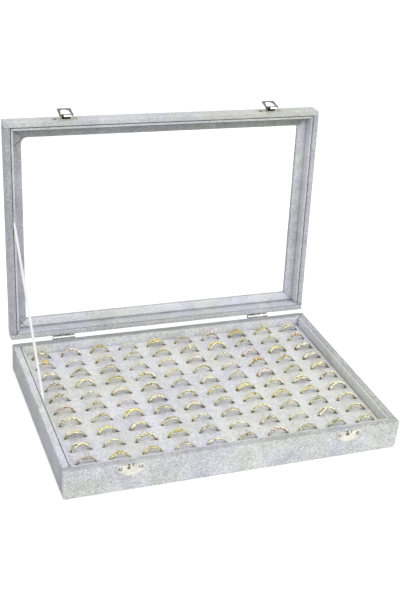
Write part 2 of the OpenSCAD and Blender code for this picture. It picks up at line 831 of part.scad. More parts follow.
// Half-moon plate with a hook bent out of it; the loop's far bar sits under the hook
module strike_plate(x) {
    color(pale_nickel) translate([x, -case_d / 2, 0]) {
        difference() {
            rotate([90, 0, 0]) linear_extrude(plate_t) strike_outline();
            translate([-hook_w / 2, -plate_t - over, hook_z - hook_hole])
                cube([hook_w, plate_t + 2 * over, hook_hole]);
            for (s = [-1, 1]) translate([s * lobe_x, over, lobe_z])
                rotate([90, 0, 0]) cylinder(r = nail_r + pin_fit, h = plate_t + 2 * over);
        }
        across(hook_w) {
            translate([-plate_t - hook_room - hook_t, hook_z])
                square([hook_room + hook_t + plate_t / 2, hook_t]);
            translate([-plate_t - hook_room - hook_t, hook_z - hook_drop])
                square([hook_t, hook_drop + hook_t]);
        }
    }
}

module left_strike_plate() { strike_plate(-latch_left); }
module right_strike_plate() { strike_plate(latch_right); }

// ---------- nails and pivot pins ----------

module base_nails() {
    color(pale_nickel) {
        for (x = [-latch_left, latch_right], s = [-1, 1])
            translate([x + s * lobe_x, -case_d / 2 - plate_t, lobe_z]) nail(0);
        for (sx = [-1, 1], s = [-1, 1])
            translate([sx * hinge_x + s * leaf_nail_x, case_d / 2 + leaf_t, axis_z - leaf_nail_z])
                mirror([0, 1, 0]) nail(0);
    }
}

module lid_nails() {
    color(nickel) lid_pose() {
        for (x = [-latch_left, latch_right], s = [-1, 1])
            translate([x + s * plate_nail_x, -case_d / 2 - plate_t, rim_z + plate_rise]) nail(0);
        for (sx = [-1, 1], s = [-1, 1])
            translate([sx * hinge_x + s * leaf_nail_x, case_d / 2 + leaf_t, axis_z + leaf_nail_z])
                mirror([0, 1, 0]) nail(0);
    }
}

// Pivot pins of the levers, held in the plates' ears
module lever_pins() {
    color(nickel) lid_pose() for (x = [-latch_left, latch_right]) at_latch(x)
        translate([0, -pivot_out, pivot_rise]) rod(pivot_r, 2 * ear_x + tab_t + 2 * pivot_proud);
}

// Pin that joins a loop to its lever
module loop_pin() {
    lever_pose() translate([0, 0, crank]) rod(pivot_r, 2 * eye_x + bar_w + 2 * pivot_proud);
}

module left_loop_pin() { color(nickel) lid_pose() at_latch(-latch_left) loop_pin(); }
module right_loop_pin() { color(nickel) lid_pose() at_latch(latch_right) loop_pin(); }

// ---------- ribbon ----------

function unit(v) = v / norm(v);

// Cross-section of the ribbon at p for a run along t; turn 0 lies in the groove, 1 across it
function ribbon_station(p, t, turn) =
    let (
        w = unit(cos(90 * turn) * cross(t, [1, 0, 0]) + sin(90 * turn) * [1, 0, 0]),
        n = unit(cross(w, t))
    )
    [for (k = [[-1, -1], [1, -1], [1, 1], [-1, 1]])
        p + k[0] * ribbon_w / 2 * w + k[1] * ribbon_t / 2 * n];

// Strip from the base's left groove to the lid's left groove, taut with the lid open;
// it stands in each groove edgewise and turns flat between them
module lid_ribbon() {
    lid_up = [0, sin(open_angle), cos(open_angle)];
    lid_out = [0, -cos(open_angle), sin(open_angle)];
    a = [groove_w / 2 - wall_in[0], axis_y - ribbon_base, base_h + ribbon_proud];
    b = [groove_w / 2 - rail_in[0], axis_y, axis_z] + ribbon_lid * lid_out
        + (seam_gap / 2 - ribbon_proud) * lid_up;
    way = unit(b - a);
    steps = [0 : 1 / 3 : 1];
    stations = concat(
        [ribbon_station(a - [0, 0, ribbon_tail], [0, 0, 1], 0)],
        [for (k = steps) ribbon_station(a + k * ribbon_twist * way, k > 0 ? way : unit(way + [0, 0, 1]), k)],
        [for (k = steps)
            ribbon_station(b + (k - 1) * ribbon_twist * way, k < 1 ? way : unit(way + lid_up), 1 - k)],
        [ribbon_station(b + ribbon_tail * lid_up, lid_up, 0)]
    );
    last = len(stations) - 1;
    color("white") polyhedron(
        points = [for (s = stations, c = s) c],
        faces = concat(
            [[0, 1, 2, 3]],
            [for (i = [0:last - 1], k = [0:3], half = [0, 1])
                let (m = (k + 1) % 4, c = 4 * i)
                half == 0 ? [c + k, c + 4 + k, c + 4 + m] : [c + k, c + 4 + m, c + m]],
            [[4 * last + 3, 4 * last + 2, 4 * last + 1, 4 * last]]
        )
    );
}

front_wall();
back_wall();
left_wall();
right_wall();
floor_board();
bottom_sheet();
front_liner();
back_liner();
left_liner();
right_liner();
pad_card();
slotted_pad();
left_strike_plate();
right_strike_plate();
base_nails();
left_base_leaf();
right_base_leaf();
hinge_pins();
lid_ribbon();
plain_rings();
wide_rings();
crossed_rings();
beaded_rings();
cluster_rings();
solitaire_rings();
crown_rings();
double_rings();
clear_stones();
amber_stone();
rose_stones();
pearl();
lid_front_rail();
lid_back_rail();
lid_left_rail();
lid_right_rail();
window_front_frame();
window_back_frame();
window_left_frame();
window_right_frame();
glass_pane();
front_border();
back_border();
left_border();
right_border();
lid_front_liner();
lid_back_liner();
lid_left_liner();
lid_right_liner();
left_lid_leaf();
right_lid_leaf();
left_latch_plate();
right_latch_plate();
lid_nails();
left_lever();
right_lever();
lever_pins();
left_loop_pin();
right_loop_pin();
left_loop();
right_loop();
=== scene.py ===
import json
import math
import random
from functools import partialmethod
from math import cos, pi, radians, sin

import bmesh
import bpy
from mathutils import Matrix, Vector, noise


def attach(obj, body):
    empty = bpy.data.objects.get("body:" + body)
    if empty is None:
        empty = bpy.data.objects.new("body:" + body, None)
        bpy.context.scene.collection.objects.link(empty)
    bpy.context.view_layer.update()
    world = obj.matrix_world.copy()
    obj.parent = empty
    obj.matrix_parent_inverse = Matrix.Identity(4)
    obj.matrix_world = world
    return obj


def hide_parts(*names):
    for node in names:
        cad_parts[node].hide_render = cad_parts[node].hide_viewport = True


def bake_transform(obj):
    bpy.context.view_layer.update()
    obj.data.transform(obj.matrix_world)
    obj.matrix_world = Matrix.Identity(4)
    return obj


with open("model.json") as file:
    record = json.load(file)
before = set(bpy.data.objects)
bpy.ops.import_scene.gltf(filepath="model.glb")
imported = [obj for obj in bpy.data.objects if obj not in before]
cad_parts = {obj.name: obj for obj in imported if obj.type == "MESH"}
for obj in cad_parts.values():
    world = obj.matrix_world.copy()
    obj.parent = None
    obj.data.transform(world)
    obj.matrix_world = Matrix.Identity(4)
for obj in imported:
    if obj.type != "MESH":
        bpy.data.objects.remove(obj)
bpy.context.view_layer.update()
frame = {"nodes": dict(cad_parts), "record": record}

# Ring display box. Lengths are in millimetres here and go into the meshes in metres.
MM = 0.001

# Half widths and half depths, seen from above.
WALL_IN = (168.0, 113.0)
RAIL_IN = (169.0, 114.0)
LINER_OUT = (167.0, 112.0)
LID_LINER_OUT = (168.0, 113.0)
PAD_HALF = (164.2, 109.2)
WINDOW_HALF = (156.0, 101.0)

# Heights; those of the lid are given as in the closed box.
BASE_H = 32.0
PAD_FOOT = 4.9
PAD_TOP = 22.0
RIM_Z = 32.5
BORDER_FOOT = 44.5
GLASS_FOOT = 46.1
GLASS_TOP = 48.1
LID_TOP = 50.5

# Thickness of the boards, and the outer radii at the two ends of a front or back one.
WALL_T = 7.0
RAIL_T = 6.0
LINER_T = 2.5
LID_LINER_T = 2.2
BASE_CORNERS = {"front": (1.1, 2.2), "back": (1.6, 1.6)}
LID_CORNERS = {"front": (1.0, 2.6), "back": (1.6, 1.2)}

# The hinge pin in Y and Z, and the lid's turn from closed to the rest pose.
AXIS = (122.1, 32.25)
OPEN = radians(-95)

# Rings: rows and columns, pitch, bore radius, height of the centre, and how much they are enlarged.
PER_SIDE = 10
MIDDLE = (PER_SIDE - 1) / 2
PITCH = (32.84, 21.84)
RING_BORE = 8.7
RING_Z = 18.6
RING_SIZE = (1.13, 1.3, 1.13)

# Latches: their X, the strike plate's nails and hook, the latch plate's nails, and the lever's pivot and turn.
LATCH_X = (-111.0, 117.0)
LOBE_X = 10.2
LOBE_Z = 26.54
HOOK_Z = 28.24
NAIL_X = 10.1
NAIL_Y = 149.3
PIVOT = (-122.6, RIM_Z + 3.4)
PARKED = radians(125)

SIDES = (("front", 270), ("back", 90), ("left", 180), ("right", 0))


# ---------- stage, camera and light ----------

scene = bpy.context.scene
scene.view_settings.view_transform = "Standard"


def placed(name, data):
    ob = bpy.data.objects.new(name, data)
    scene.collection.objects.link(ob)
    return ob


def make_camera():
    """The camera that was fitted to the photo."""
    cam = bpy.data.cameras.new("camera")
    cam.lens = 62.90
    cam.sensor_width = 36
    cam.shift_x = -0.0017
    cam.shift_y = 0.0739
    cam.clip_start = 0.05
    ob = placed("camera", cam)
    yaw, pitch, roll = (radians(a) for a in (22.34, 29.75, 4.87))
    fwd = Vector((sin(yaw) * cos(pitch), cos(yaw) * cos(pitch), -sin(pitch)))
    right = Vector((cos(yaw), -sin(yaw), 0))
    up = right.cross(fwd)
    r2 = right * cos(roll) + up * sin(roll)
    u2 = up * cos(roll) - right * sin(roll)
    m = Matrix((r2, u2, -fwd)).transposed().to_4x4()
    m.translation = Vector((-0.3599, -0.8729, 0.6158))
    ob.matrix_world = m
    scene.camera = ob


def area_light(name, place, size, power):
    """A round lamp turned to the middle of the box."""
    lamp = bpy.data.lights.new(name, "AREA")
    lamp.shape = "DISK"
    lamp.size = size
    lamp.energy = power
    ob = placed(name, lamp)
    ob.location = place
    ob.rotation_euler = (Vector((0, 0, 0.1)) - Vector(place)).to_track_quat("-Z", "Y").to_euler()


def nodes_of(holder):
    holder.use_nodes = True
    tree = holder.node_tree
    tree.nodes.clear()
    return tree


def joined(tree, kind, *sources, **settings):
    """Adds a node; a source is a socket to link to the next input, or a value to put there."""
    node = tree.nodes.new("ShaderNode" + kind)
    for key, value in settings.items():
        setattr(node, key, value)
    for socket, source in zip(node.inputs, sources):
        if isinstance(source, (int, float, tuple)):
            socket.default_value = source
        else:
            tree.links.new(source, socket)
    return node


def seen_rays(tree):
    """1 for camera, glossy and transmission rays, which see the plain white surroundings."""
    path = joined(tree, "LightPath")
    total = path.outputs["Is Camera Ray"]
    for name in ("Is Glossy Ray", "Is Transmission Ray"):
        total = joined(tree, "Math", total, path.outputs[name], operation="MAXIMUM").outputs[0]
    return total


def make_world(light):
    world = bpy.data.worlds.new("studio")
    scene.world = world
    tree = nodes_of(world)
    lit = joined(tree, "Background", (0.97, 0.98, 1, 1), light)
    white = joined(tree, "Background", (1, 1, 1, 1))
    mix = joined(tree, "MixShader", seen_rays(tree), lit.outputs[0], white.outputs[0])
    joined(tree, "OutputWorld", mix.outputs[0])


def make_floor(glow, half=6.0):
    """A pale floor that looks white to the rays that see it."""
    mat = bpy.data.materials.new("floor_white")
    tree = nodes_of(mat)
    diffuse = joined(tree, "BsdfDiffuse", (0.86, 0.86, 0.87, 1))
    strength = joined(tree, "Math", seen_rays(tree), glow, operation="MULTIPLY")
    light = joined(tree, "Emission", (1, 1, 1, 1), strength.outputs[0])
    add = joined(tree, "AddShader", diffuse.outputs[0], light.outputs[0])
    joined(tree, "OutputMaterial", add.outputs[0])
    me = bpy.data.meshes.new("floor")
    me.from_pydata([(-half, -half, 0), (half, -half, 0), (half, half, 0), (-half, half, 0)], [], [(0, 1, 2, 3)])
    me.materials.append(mat)
    placed("floor", me)


make_camera()
make_world(0.74)
make_floor(0.48)
area_light("key_light", (1.15, -1.4, 1.65), 2.2, 15)
area_light("fill_light", (-1.3, -0.9, 1.3), 1.5, 3.5)


# ---------- materials ----------

M = {}  # every material, by name


class Nodes:
    """Short calls for building one material."""

    def __init__(self, name):
        M[name] = bpy.data.materials.new(name)
        self.tree = nodes_of(M[name])
        self.shader = self.add("BsdfPrincipled")
        self.add("OutputMaterial", self.shader.outputs[0])
        self.place = self.add("TexCoord").outputs["Object"]

    def add(self, kind, *sources, **settings):
        return joined(self.tree, kind, *sources, **settings)

    def link(self, a, b):
        self.tree.links.new(a, b)

    def noise(self, scale, detail=2.0, rough=0.5, distortion=0.0, stretch=None):
        place = self.place
        if stretch:
            mapping = self.add("Mapping", place)
            mapping.inputs["Scale"].default_value = stretch
            place = mapping.outputs["Vector"]
        node = self.add("TexNoise", place)
        looks = {"Scale": scale, "Detail": detail, "Roughness": rough, "Distortion": distortion}
        for key, value in looks.items():
            node.inputs[key].default_value = value
        return node.outputs["Fac"]

    def math(self, op, *values):
        return self.add("Math", *values, operation=op).outputs[0]

    times = partialmethod(math, "MULTIPLY")
    plus = partialmethod(math, "ADD")
    less = partialmethod(math, "SUBTRACT")

    def ramp(self, fac, stops):
        node = self.add("ValToRGB", fac)
        band = node.color_ramp
        while len(band.elements) < len(stops):
            band.elements.new(0.5)
        for element, (pos, col) in zip(band.elements, stops):
            element.position = pos
            element.color = (*col, 1)
        return node.outputs["Color"]

    def ranged(self, value, **ends):
        node = self.add("MapRange", value)
        for key, end in ends.items():
            node.inputs[key.replace("_", " ")].default_value = end
        return node.outputs["Result"]

    def spread(self, fac, low, high):
        """0 to 1 turned into low to high."""
        return self.ranged(fac, To_Min=low, To_Max=high)

    def step(self, value, low, high):
        """0 below low and 1 above high; the other way round if high is less than low."""
        a, b = sorted((low, high))
        return self.ranged(value, From_Min=a, From_Max=b, To_Min=int(low > high), To_Max=int(low < high))

    def axes(self, output):
        """X, Y and Z of a texture coordinate."""
        return self.add("SeparateXYZ", self.add("TexCoord").outputs[output]).outputs

    def attribute(self, name):
        return self.add("Attribute", attribute_name=name).outputs["Fac"]

    def spot(self, u, v, place, inner, outer):
        """1 within the inner radius of a place, 0 beyond the outer; u and v are lengths in metres."""
        du = self.less(u, place[0] * MM)
        dv = self.less(v, place[1] * MM)
        far = self.plus(self.times(du, du), self.times(dv, dv))
        return self.step(self.math("POWER", far, 0.5), outer * MM, inner * MM)

    def scaled(self, colour, value):
        """A colour made lighter or darker by a value."""
        node = self.add("VectorMath", colour, operation="SCALE")
        self.link(value, node.inputs["Scale"])
        return node.outputs[0]

    def mixed(self, fac, a, b, blend="MIX"):
        """Colour a with colour b laid over it; fac and b are sockets or values."""
        node = self.add("Mix", data_type="RGBA", blend_type=blend)
        for key, value in (("Factor", fac), ("A", a), ("B", b)):
            if isinstance(value, (float, tuple)):
                node.inputs[key].default_value = value
            else:
                self.link(value, node.inputs[key])
        return node.outputs["Result"]

    def most(self, *values):
        total = values[0]
        for value in values[1:]:
            total = self.math("MAXIMUM", total, value)
        return total

    def bump(self, height, distance, strength=1.0):
        node = self.add("Bump")
        node.inputs["Strength"].default_value = strength
        node.inputs["Distance"].default_value = distance
        self.link(height, node.inputs["Height"])
        self.link(node.outputs["Normal"], self.shader.inputs["Normal"])

    def paint(self, colour, rough):
        self.link(colour, self.shader.inputs["Base Color"])
        self.link(rough, self.shader.inputs["Roughness"])

    def set(self, **values):
        for key, value in values.items():
            self.shader.inputs[key.replace("_", " ")].default_value = value


def tint(col, k):
    return tuple(min(1.0, c * k) for c in col)


def velvet(name, col, mottle=0.10, patch=0.06, sheen=0.25, slits=False, rise=0.0, crease_shades=()):
    """Crushed velvet: short worm-like strokes of nap, fine pile, and broad patches that turn warm or cool.
    rise paints faces that look up lighter or darker, as painted light and shade. A crease shade (a, b, c) is
    painted shade, a dark line where a X + b Z is c."""
    n = Nodes(name)
    worms = n.noise(300, 2.0, 0.6, 2.4)
    specks = n.noise(560, 1.5, 0.6, 1.2)
    pile = n.noise(1500, 1.0, 0.6)
    broad = n.noise(26, 2.5, 0.6, 0.9)
    fac = 0.5
    for value, weight in ((worms, mottle * 19), (specks, mottle * 15), (pile, mottle * 3), (broad, patch * 13)):
        fac = n.plus(n.times(n.less(value, 0.5), weight), fac)
    middle = 0.76
    shade = n.ramp(fac, [(0.0, (0.50,) * 3), (0.5, (middle,) * 3), (1.0, (1.0,) * 3)])
    # Painted light and shade: faces that look up are made lighter or darker than the rest.
    if rise:
        up = n.step(n.axes("Normal")[2], 0.2, 0.95)
        shade = n.scaled(shade, n.spread(up, 1.0, 1 + rise))
    # Painted shade along the borders' folds: a dark line at each crease.
    for a, b, c in crease_shades:
        x, y, z = n.axes("Object")
        line = n.plus(n.times(x, a), n.times(z, b))
        away = n.math("ABSOLUTE", n.less(line, c * MM), 0)
        shade = n.scaled(shade, n.spread(n.step(away, 0.3 * MM, 1.2 * MM), 0.5, 1.0))
    warm = tuple(c * k / middle for c, k in zip(col, (1.005, 1.01, 0.945)))
    cool = tuple(c * k / middle for c, k in zip(col, (0.995, 0.99, 1.045)))
    hue = n.ramp(n.noise(17, 2.0, 0.5, 0.6), [(0.38, cool), (0.62, warm)])
    colour = n.mixed(1.0, hue, shade, "MULTIPLY")
    # Painted shade in the pad's slits and holes: the pad's painted shade values mix the velvet toward almost
    # black.
    if slits:
        colour = n.mixed(n.attribute("slit_shade"), colour, (0.05, 0.045, 0.035, 1))
    n.link(colour, n.shader.inputs["Base Color"])
    n.set(Roughness=0.92, Sheen_Weight=sheen, Sheen_Roughness=0.35, Specular_IOR_Level=0.15)
    n.shader.inputs["Sheen Tint"].default_value = (0.97, 0.97, 1, 1)
    n.bump(n.plus(n.times(worms, 0.7), n.times(specks, 0.5)), 0.0016, 0.9)


def metal(name, col, low, high, dark=None, shade=None, scale=160):
    """Nickel plate with tarnish; shade is a call, given the nodes, that says where painted shade darkens the
    plate to the dark colour.
    """
    n = Nodes(name)
    colour = n.ramp(n.noise(scale, 3.0, 0.6, 0.4), [(0.25, tint(col, 0.74)), (0.6, col)])
    if shade:
        colour = n.mixed(shade(n), colour, (*dark, 1))
    n.paint(colour, n.spread(n.noise(scale * 3, 2.0), low, high))
    n.set(Metallic=1.0)
    n.bump(n.noise(2500, 2.0, 0.6), 0.00002, 0.4)


def plate_shade(n):
    """Painted shade: dark on the ears' sides and round the nails."""
    x, y, z = n.axes("Object")
    side = n.step(n.math("ABSOLUTE", n.axes("Normal")[0], 0), 0.5, 0.8)
    nails = [n.spot(x, y, (cx + k * NAIL_X, NAIL_Y), 1.5, 2.2) for cx in LATCH_X for k in (-1, 1)]
    return n.most(side, *nails)


def hinge_shade(n):
    """Painted shade: dark dashes on what doesn't face the front, and a little darker on what faces down."""
    x, y, z = n.axes("Normal")
    dashes = n.step(n.noise(110, 1.0), 0.42, 0.5)
    return n.most(n.times(n.step(y, -0.4, -0.1), dashes), n.times(n.step(z, -0.05, -0.4), 0.35))


def strike_shade(n):
    """Painted shade: dark specks round the nails, dark beside and under the hook, and darker on faces that turn
    down or left.
    """
    x, y, z = n.axes("Object")
    across, _, up = n.axes("Normal")
    specks = n.step(n.noise(760, 1.0), 0.40, 0.48)
    marks = [n.times(n.step(up, -0.3, -0.6), 0.4), n.times(n.step(across, -0.5, -0.8), 0.4)]
    for cx in LATCH_X:
        for k in (-1, 1):
            nail = n.spot(x, z, (cx + k * LOBE_X - 0.3, LOBE_Z - 0.2), 1.7, 2.8)
            marks.append(n.times(nail, specks))
        for dx, dz, inner, outer in ((-2.3, -1.7, 0.9, 1.7), (-2.0, 1.7, 0.5, 1.2), (2.2, 1.6, 0.4, 1.0)):
            marks.append(n.spot(x, z, (cx + dx, HOOK_Z + dz), inner, outer))
    return n.most(*marks)


def gold(name, col, mid, dark):
    """Gold plate with random dark flecks, and painted shade at its edges, in its gaps and where it goes down
    into the pad.
    """
    n = Nodes(name)
    spots = n.noise(620, 2.0, 0.65, 0.8)
    # The low values are painted shade; the spots add random dark flecks.
    fac = n.plus(n.attribute("low"), n.times(n.less(spots, 0.535), 3.6))
    n.paint(n.ramp(fac, [(0.02, col), (0.42, mid), (0.85, dark)]), n.spread(spots, 0.14, 0.34))
    n.set(Metallic=1.0)
    n.bump(n.noise(1800, 2.0), 0.00003, 0.5)


def clear(name, col, alpha):
    n = Nodes(name)
    n.paint(n.ramp(n.noise(40, 1.0), [(0.3, tint(col, 0.97)), (0.7, col)]), n.spread(n.noise(90), 0.03, 0.06))
    n.set(Alpha=alpha, IOR=1.5)


def gem(name, col, alpha):
    n = Nodes(name)
    n.paint(n.ramp(n.noise(500, 1.0), [(0.35, tint(col, 0.6)), (0.65, col)]),
            n.spread(n.noise(900, 1.0), 0.02, 0.10))
    n.set(Alpha=alpha, IOR=1.9, Coat_Weight=0.6, Coat_Roughness=0.03)


def matt(name, col, scale, mottle, rough=0.85, grain=None, sheen=0.0):
    """Card, paper, satin, enamel and pearl: a fine grain over one tone."""
    n = Nodes(name)
    fine = n.noise(scale, 3.0, 0.6, 0.2, grain)
    n.paint(n.ramp(fine, [(0.25, tint(col, 1 - mottle)), (0.75, tint(col, 1 + mottle))]),
            n.spread(fine, rough - 0.1, min(1.0, rough + 0.08)))
    if sheen:
        n.set(Sheen_Weight=sheen, Sheen_Roughness=0.3)
    n.bump(fine, 0.0001, 0.5)


# The velvet is one cloth. Its copies are painted lighter or darker from board to board and border to border:
# painted light and shade for how each one faces the light, and partly the nap turning to or from it.
GREY = (0.603, 0.608, 0.630)
PLAIN = (0.606, 0.610, 0.611)
velvet("velvet_base", tint(PLAIN, 1.30), 0.12, 0.07, rise=-0.23)
velvet("velvet_left", tint(GREY, 0.88), 0.10, 0.07, rise=0.56)
velvet("velvet_back", tint(PLAIN, 0.96), 0.08, 0.06, rise=-0.21)
velvet("velvet_liner", tint(GREY, 1.3), 0.06, 0.05)
velvet("velvet_right_liner", tint(PLAIN, 1.26), 0.06, 0.05)
velvet("velvet_back_liner", tint(PLAIN, 1.46), 0.09, 0.05, rise=-0.17)
velvet("velvet_lid_liner", tint(GREY, 1.2), 0.06, 0.05)
velvet("velvet_lid", tint(GREY, 1.03), 0.09, 0.06)
velvet("velvet_lid_top", (0.697, 0.700, 0.688), 0.07, 0.05, rise=0.14)
velvet("velvet_lid_back", tint(PLAIN, 1.17), 0.09, 0.06)
velvet("velvet_lid_left", tint(GREY, 0.85), 0.11, 0.06)
velvet("velvet_pad", (0.93, 0.93, 0.94), 0.08, 0.05, 0.3, True)
velvet("border_near", (0.90, 0.905, 0.93), 0.06, 0.06, crease_shades=((1, 1, -113), (0, 1, 42.8)))
velvet("border_far", (0.395, 0.40, 0.388), 0.09, 0.08, 0.1)
velvet("border_side", (0.56, 0.57, 0.595), 0.08, 0.08, 0.15, crease_shades=((1, -1, -407.9), (1, 1, -113)))
velvet("border_right", (0.76, 0.775, 0.81), 0.08, 0.08, 0.15)
matt("board", (0.60, 0.48, 0.34), 350, 0.12)
matt("paper", (0.55, 0.55, 0.57), 900, 0.06)
matt("ribbon", (0.93, 0.93, 0.93), 700, 0.03, 0.42, (1, 1, 6), 0.3)
clear("glass", (0.92, 0.96, 0.96), 0.05)
metal("pale_nickel", (0.76, 0.745, 0.65), 0.25, 0.42, (0.05, 0.05, 0.035), strike_shade)
metal("hinge_nickel", (0.90, 0.90, 0.88), 0.25, 0.42, (0.05, 0.05, 0.05), hinge_shade)
metal("dark_nickel", (0.26, 0.26, 0.23), 0.20, 0.40)
metal("nail_nickel", (0.50, 0.49, 0.42), 0.25, 0.4, scale=700)
metal("plate_nickel", (0.44, 0.43, 0.37), 0.2, 0.4, (0.04, 0.04, 0.03), plate_shade)
# Painted light and shade: the lever's comes from its low values, and the loop is painted darker below its top
# bar.
metal("lever_nickel", (0.90, 0.90, 0.84), 0.15, 0.3, (0.012, 0.012, 0.009), lambda n: n.attribute("low"))
metal("loop_nickel", (0.30, 0.30, 0.28), 0.2, 0.35, (0.085, 0.085, 0.07),
      lambda n: n.step(n.axes("Object")[2], 0.2825, 0.277))
gold("gold", (0.93, 0.90, 0.71), (0.49, 0.455, 0.26), (0.10, 0.088, 0.035))
gold("gold_yellow", (0.94, 0.88, 0.53), (0.50, 0.44, 0.18), (0.11, 0.09, 0.03))
gold("gold_rose", (0.92, 0.84, 0.75), (0.50, 0.41, 0.31), (0.14, 0.09, 0.05))
gem("clear_stone", (0.93, 0.95, 0.98), 0.75)
gem("amber", (0.97, 0.74, 0.24), 0.92)
matt("rose_enamel", (0.88, 0.52, 0.47), 600, 0.2, 0.3)
matt("berry_enamel", (0.66, 0.33, 0.24), 600, 0.25, 0.25)
matt("pearl", (0.92, 0.91, 0.86), 300, 0.03, 0.22)

# Looks of the solids that show as they are: by the slot, or by the end of the node's name.
SLOT_LOOK = {"velvet_board": "velvet_base", "border_velvet": "border_side", "pad_velvet": "velvet_pad"}
NODE_LOOK = {
    "latch_plate": "plate_nickel", "lever": "lever_nickel", "loop": "loop_nickel", "leaf": "hinge_nickel",
    "nails": "nail_nickel",
}


def paint_cad():
    for part in frame["record"]["subparts"]:
        ob = frame["nodes"][part["node"]]
        slot = part["material_slot"]
        look = [v for k, v in NODE_LOOK.items() if part["node"].endswith(k)]
        mat = M[look[0] if look else SLOT_LOOK.get(slot, slot)]
        if not ob.material_slots:
            ob.data.materials.append(mat)
        for s in ob.material_slots:
            s.material = mat


# ---------- mesh helpers ----------

def unit(v):
    return min(1.0, max(0.0, v))


def finish_mesh(ob, body, slot, *nodes):
    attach(ob, body)
    if nodes:
        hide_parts(*nodes)


def mesh_of(name, verts, faces, looks):
    """A mesh from places in millimetres."""
    me = bpy.data.meshes.new(name)
    me.from_pydata([(x * MM, y * MM, z * MM) for x, y, z in verts], [], faces)
    for look in looks:
        me.materials.append(M[look])
    me.shade_smooth()
    return me


def mesh_object(name, verts, faces, look, weld=0.0):
    """An object in one look, with its faces turned outward."""
    me = mesh_of(name, verts, faces, [look])
    bm = bmesh.new()
    bm.from_mesh(me)
    if weld:
        bmesh.ops.remove_doubles(bm, verts=bm.verts, dist=weld * MM)
    bmesh.ops.recalc_face_normals(bm, faces=bm.faces)
    bm.to_mesh(me)
    bm.free()
    me.update()
    return placed(name, me)


def point_values(me, name, values):
    """Numbers at the mesh's points, which a material reads by name."""
    me.attributes.new(name, "FLOAT", "POINT").data.foreach_set("value", values)


def tube(rows, m, base=0, closed=False):
    """Faces that join rows of m points each; closed joins the last row to the first too."""
    return [(base + i * m + k, base + i * m + (k + 1) % m,
             base + (i + 1) % rows * m + (k + 1) % m, base + (i + 1) % rows * m + k)
            for i in range(rows if closed else rows - 1) for k in range(m)]


def caps(rows, m, base=0):
    """The two end faces of a tube."""
    return [tuple(range(base + i * m, base + (i + 1) * m)) for i in (0, rows - 1)]


def around(n, r=1.0, off=0.0):
    """n points of a circle."""
    turns = (2 * pi * (j + off) / n for j in range(n))
    return [(r * cos(a), r * sin(a)) for a in turns]


def open_lid(p):
    """A place in the closed lid, turned to where the open lid has it."""
    y, z = p[1] - AXIS[0], p[2] - AXIS[1]
    return (p[0], AXIS[0] + y * cos(OPEN) - z * sin(OPEN),
            AXIS[1] + y * sin(OPEN) + z * cos(OPEN))


def arc(u, z, r, a0, a1, n=6):
    turns = (radians(a0 + (a1 - a0) * k / n) for k in range(n + 1))
    return [(u + r * cos(a), z + r * sin(a)) for a in turns]


def dense(loop, step=3.0):
    """Closed section loop with extra points along its long edges."""
    out = []
    for a, b in zip(loop, loop[1:] + loop[:1]):
        n = max(1, round(math.dist(a, b) / step))
        out += [(a[0] + (b[0] - a[0]) * k / n, a[1] + (b[1] - a[1]) * k / n) for k in range(n)]
    return out


def corner_at(u, v, flat):
    """Where a corner's section point at offset u lies, v along the path round the corner: (outward, along)."""
    if v <= flat:
        return u, min(v, u)
    if v >= flat + 1:
        return min(2 * flat + 1 - v, u), u
    if u <= flat:
        return u, u
    f = pi / 2 * (v - flat)
    return flat + (u - flat) * cos(f), flat + (u - flat) * sin(f)


def strip(section, half, turn, thick=0.0, corners=None, mitre=True, step=4.0):
    """Sweeps a section (outward u, height z) along one side of a rectangle. corners holds the radii of the
    outer edges at its two ends, for a board of the given thickness."""
    a = radians(turn)
    out, along = (cos(a), sin(a)), (-sin(a), cos(a))
    length, reach = half if turn in (90, 270) else half[::-1]
    rings = []

    def at(o, s, z):
        return (out[0] * o + along[0] * s, out[1] * o + along[1] * s, z)

    def round_corner(side, r):
        flat = thick - r
        turns = [flat * k / 3 for k in (1, 2, 3)] + [flat + k / 7 for k in range(1, 8)] \
            + [flat + 1 + flat * k / 3 for k in (1, 2, 3)]
        for v in turns[::side]:
            ring = []
            for u, z in section:
                o, s = corner_at(u, v, flat) if u > 0 else (u, u if mitre else 0)
                ring.append(at(reach + o, side * (length + s), z))
            rings.append(ring)

    if corners:
        round_corner(-1, corners[0])
    n = max(2, round(2 * length / step))
    for k in range(n + 1):
        t = 2 * k / n - 1
        rings.append([at(reach + u, t * (length + (min(u, 0) if mitre else 0)), z) for u, z in section])
    if corners:
        round_corner(1, corners[1])
    size = (len(rings), len(section))
    return [p for ring in rings for p in ring], tube(*size) + caps(*size)


def ruffle(ob, amount, wave, fold_at, rim, low, high):
    """Moves the fabric a little between two heights, with soft folds and a pleat where it turns at fold_at."""
    me = ob.data
    reach = 6.0
    normals = [v.normal.copy() for v in me.vertices]
    for v, nrm in zip(me.vertices, normals):
        p = v.co / MM
        d = amount * noise.noise(p / wave) + 0.35 * amount * noise.noise(p / (wave * 0.3) + Vector((7, 3, 1)))
        if fold_at:
            dx, dy = abs(p.x) - fold_at[0], abs(p.y) - fold_at[1]
            if min(dx, dy) > -reach and max(dx, dy) > 0.5:
                f = math.atan2(max(dx, 0), max(dy, 0.01))
                fold = sin(f * 7 + 1.7 * noise.noise(p / 9) + p.z * 0.05)
                d += unit((min(dx, dy) + reach) / reach) * 0.22 * fold
                if abs(p.z - rim) < 2.2:
                    d -= 0.55 * math.exp(-((dx - dy) / 0.55) ** 2)
        v.co += nrm * d * MM
        v.co.z = min(max(v.co.z, low * MM), high * MM)
    me.update()


# ---------- velvet-covered boards ----------

def board_loop(t, low, high, rim_r, foot_r, inner_r):
    return dense([(0, low)] + arc(t - foot_r, low + foot_r, foot_r, -90, 0)
                 + arc(t - rim_r, high - rim_r, rim_r, 0, 90) + arc(inner_r, high - inner_r, inner_r, 90, 180))


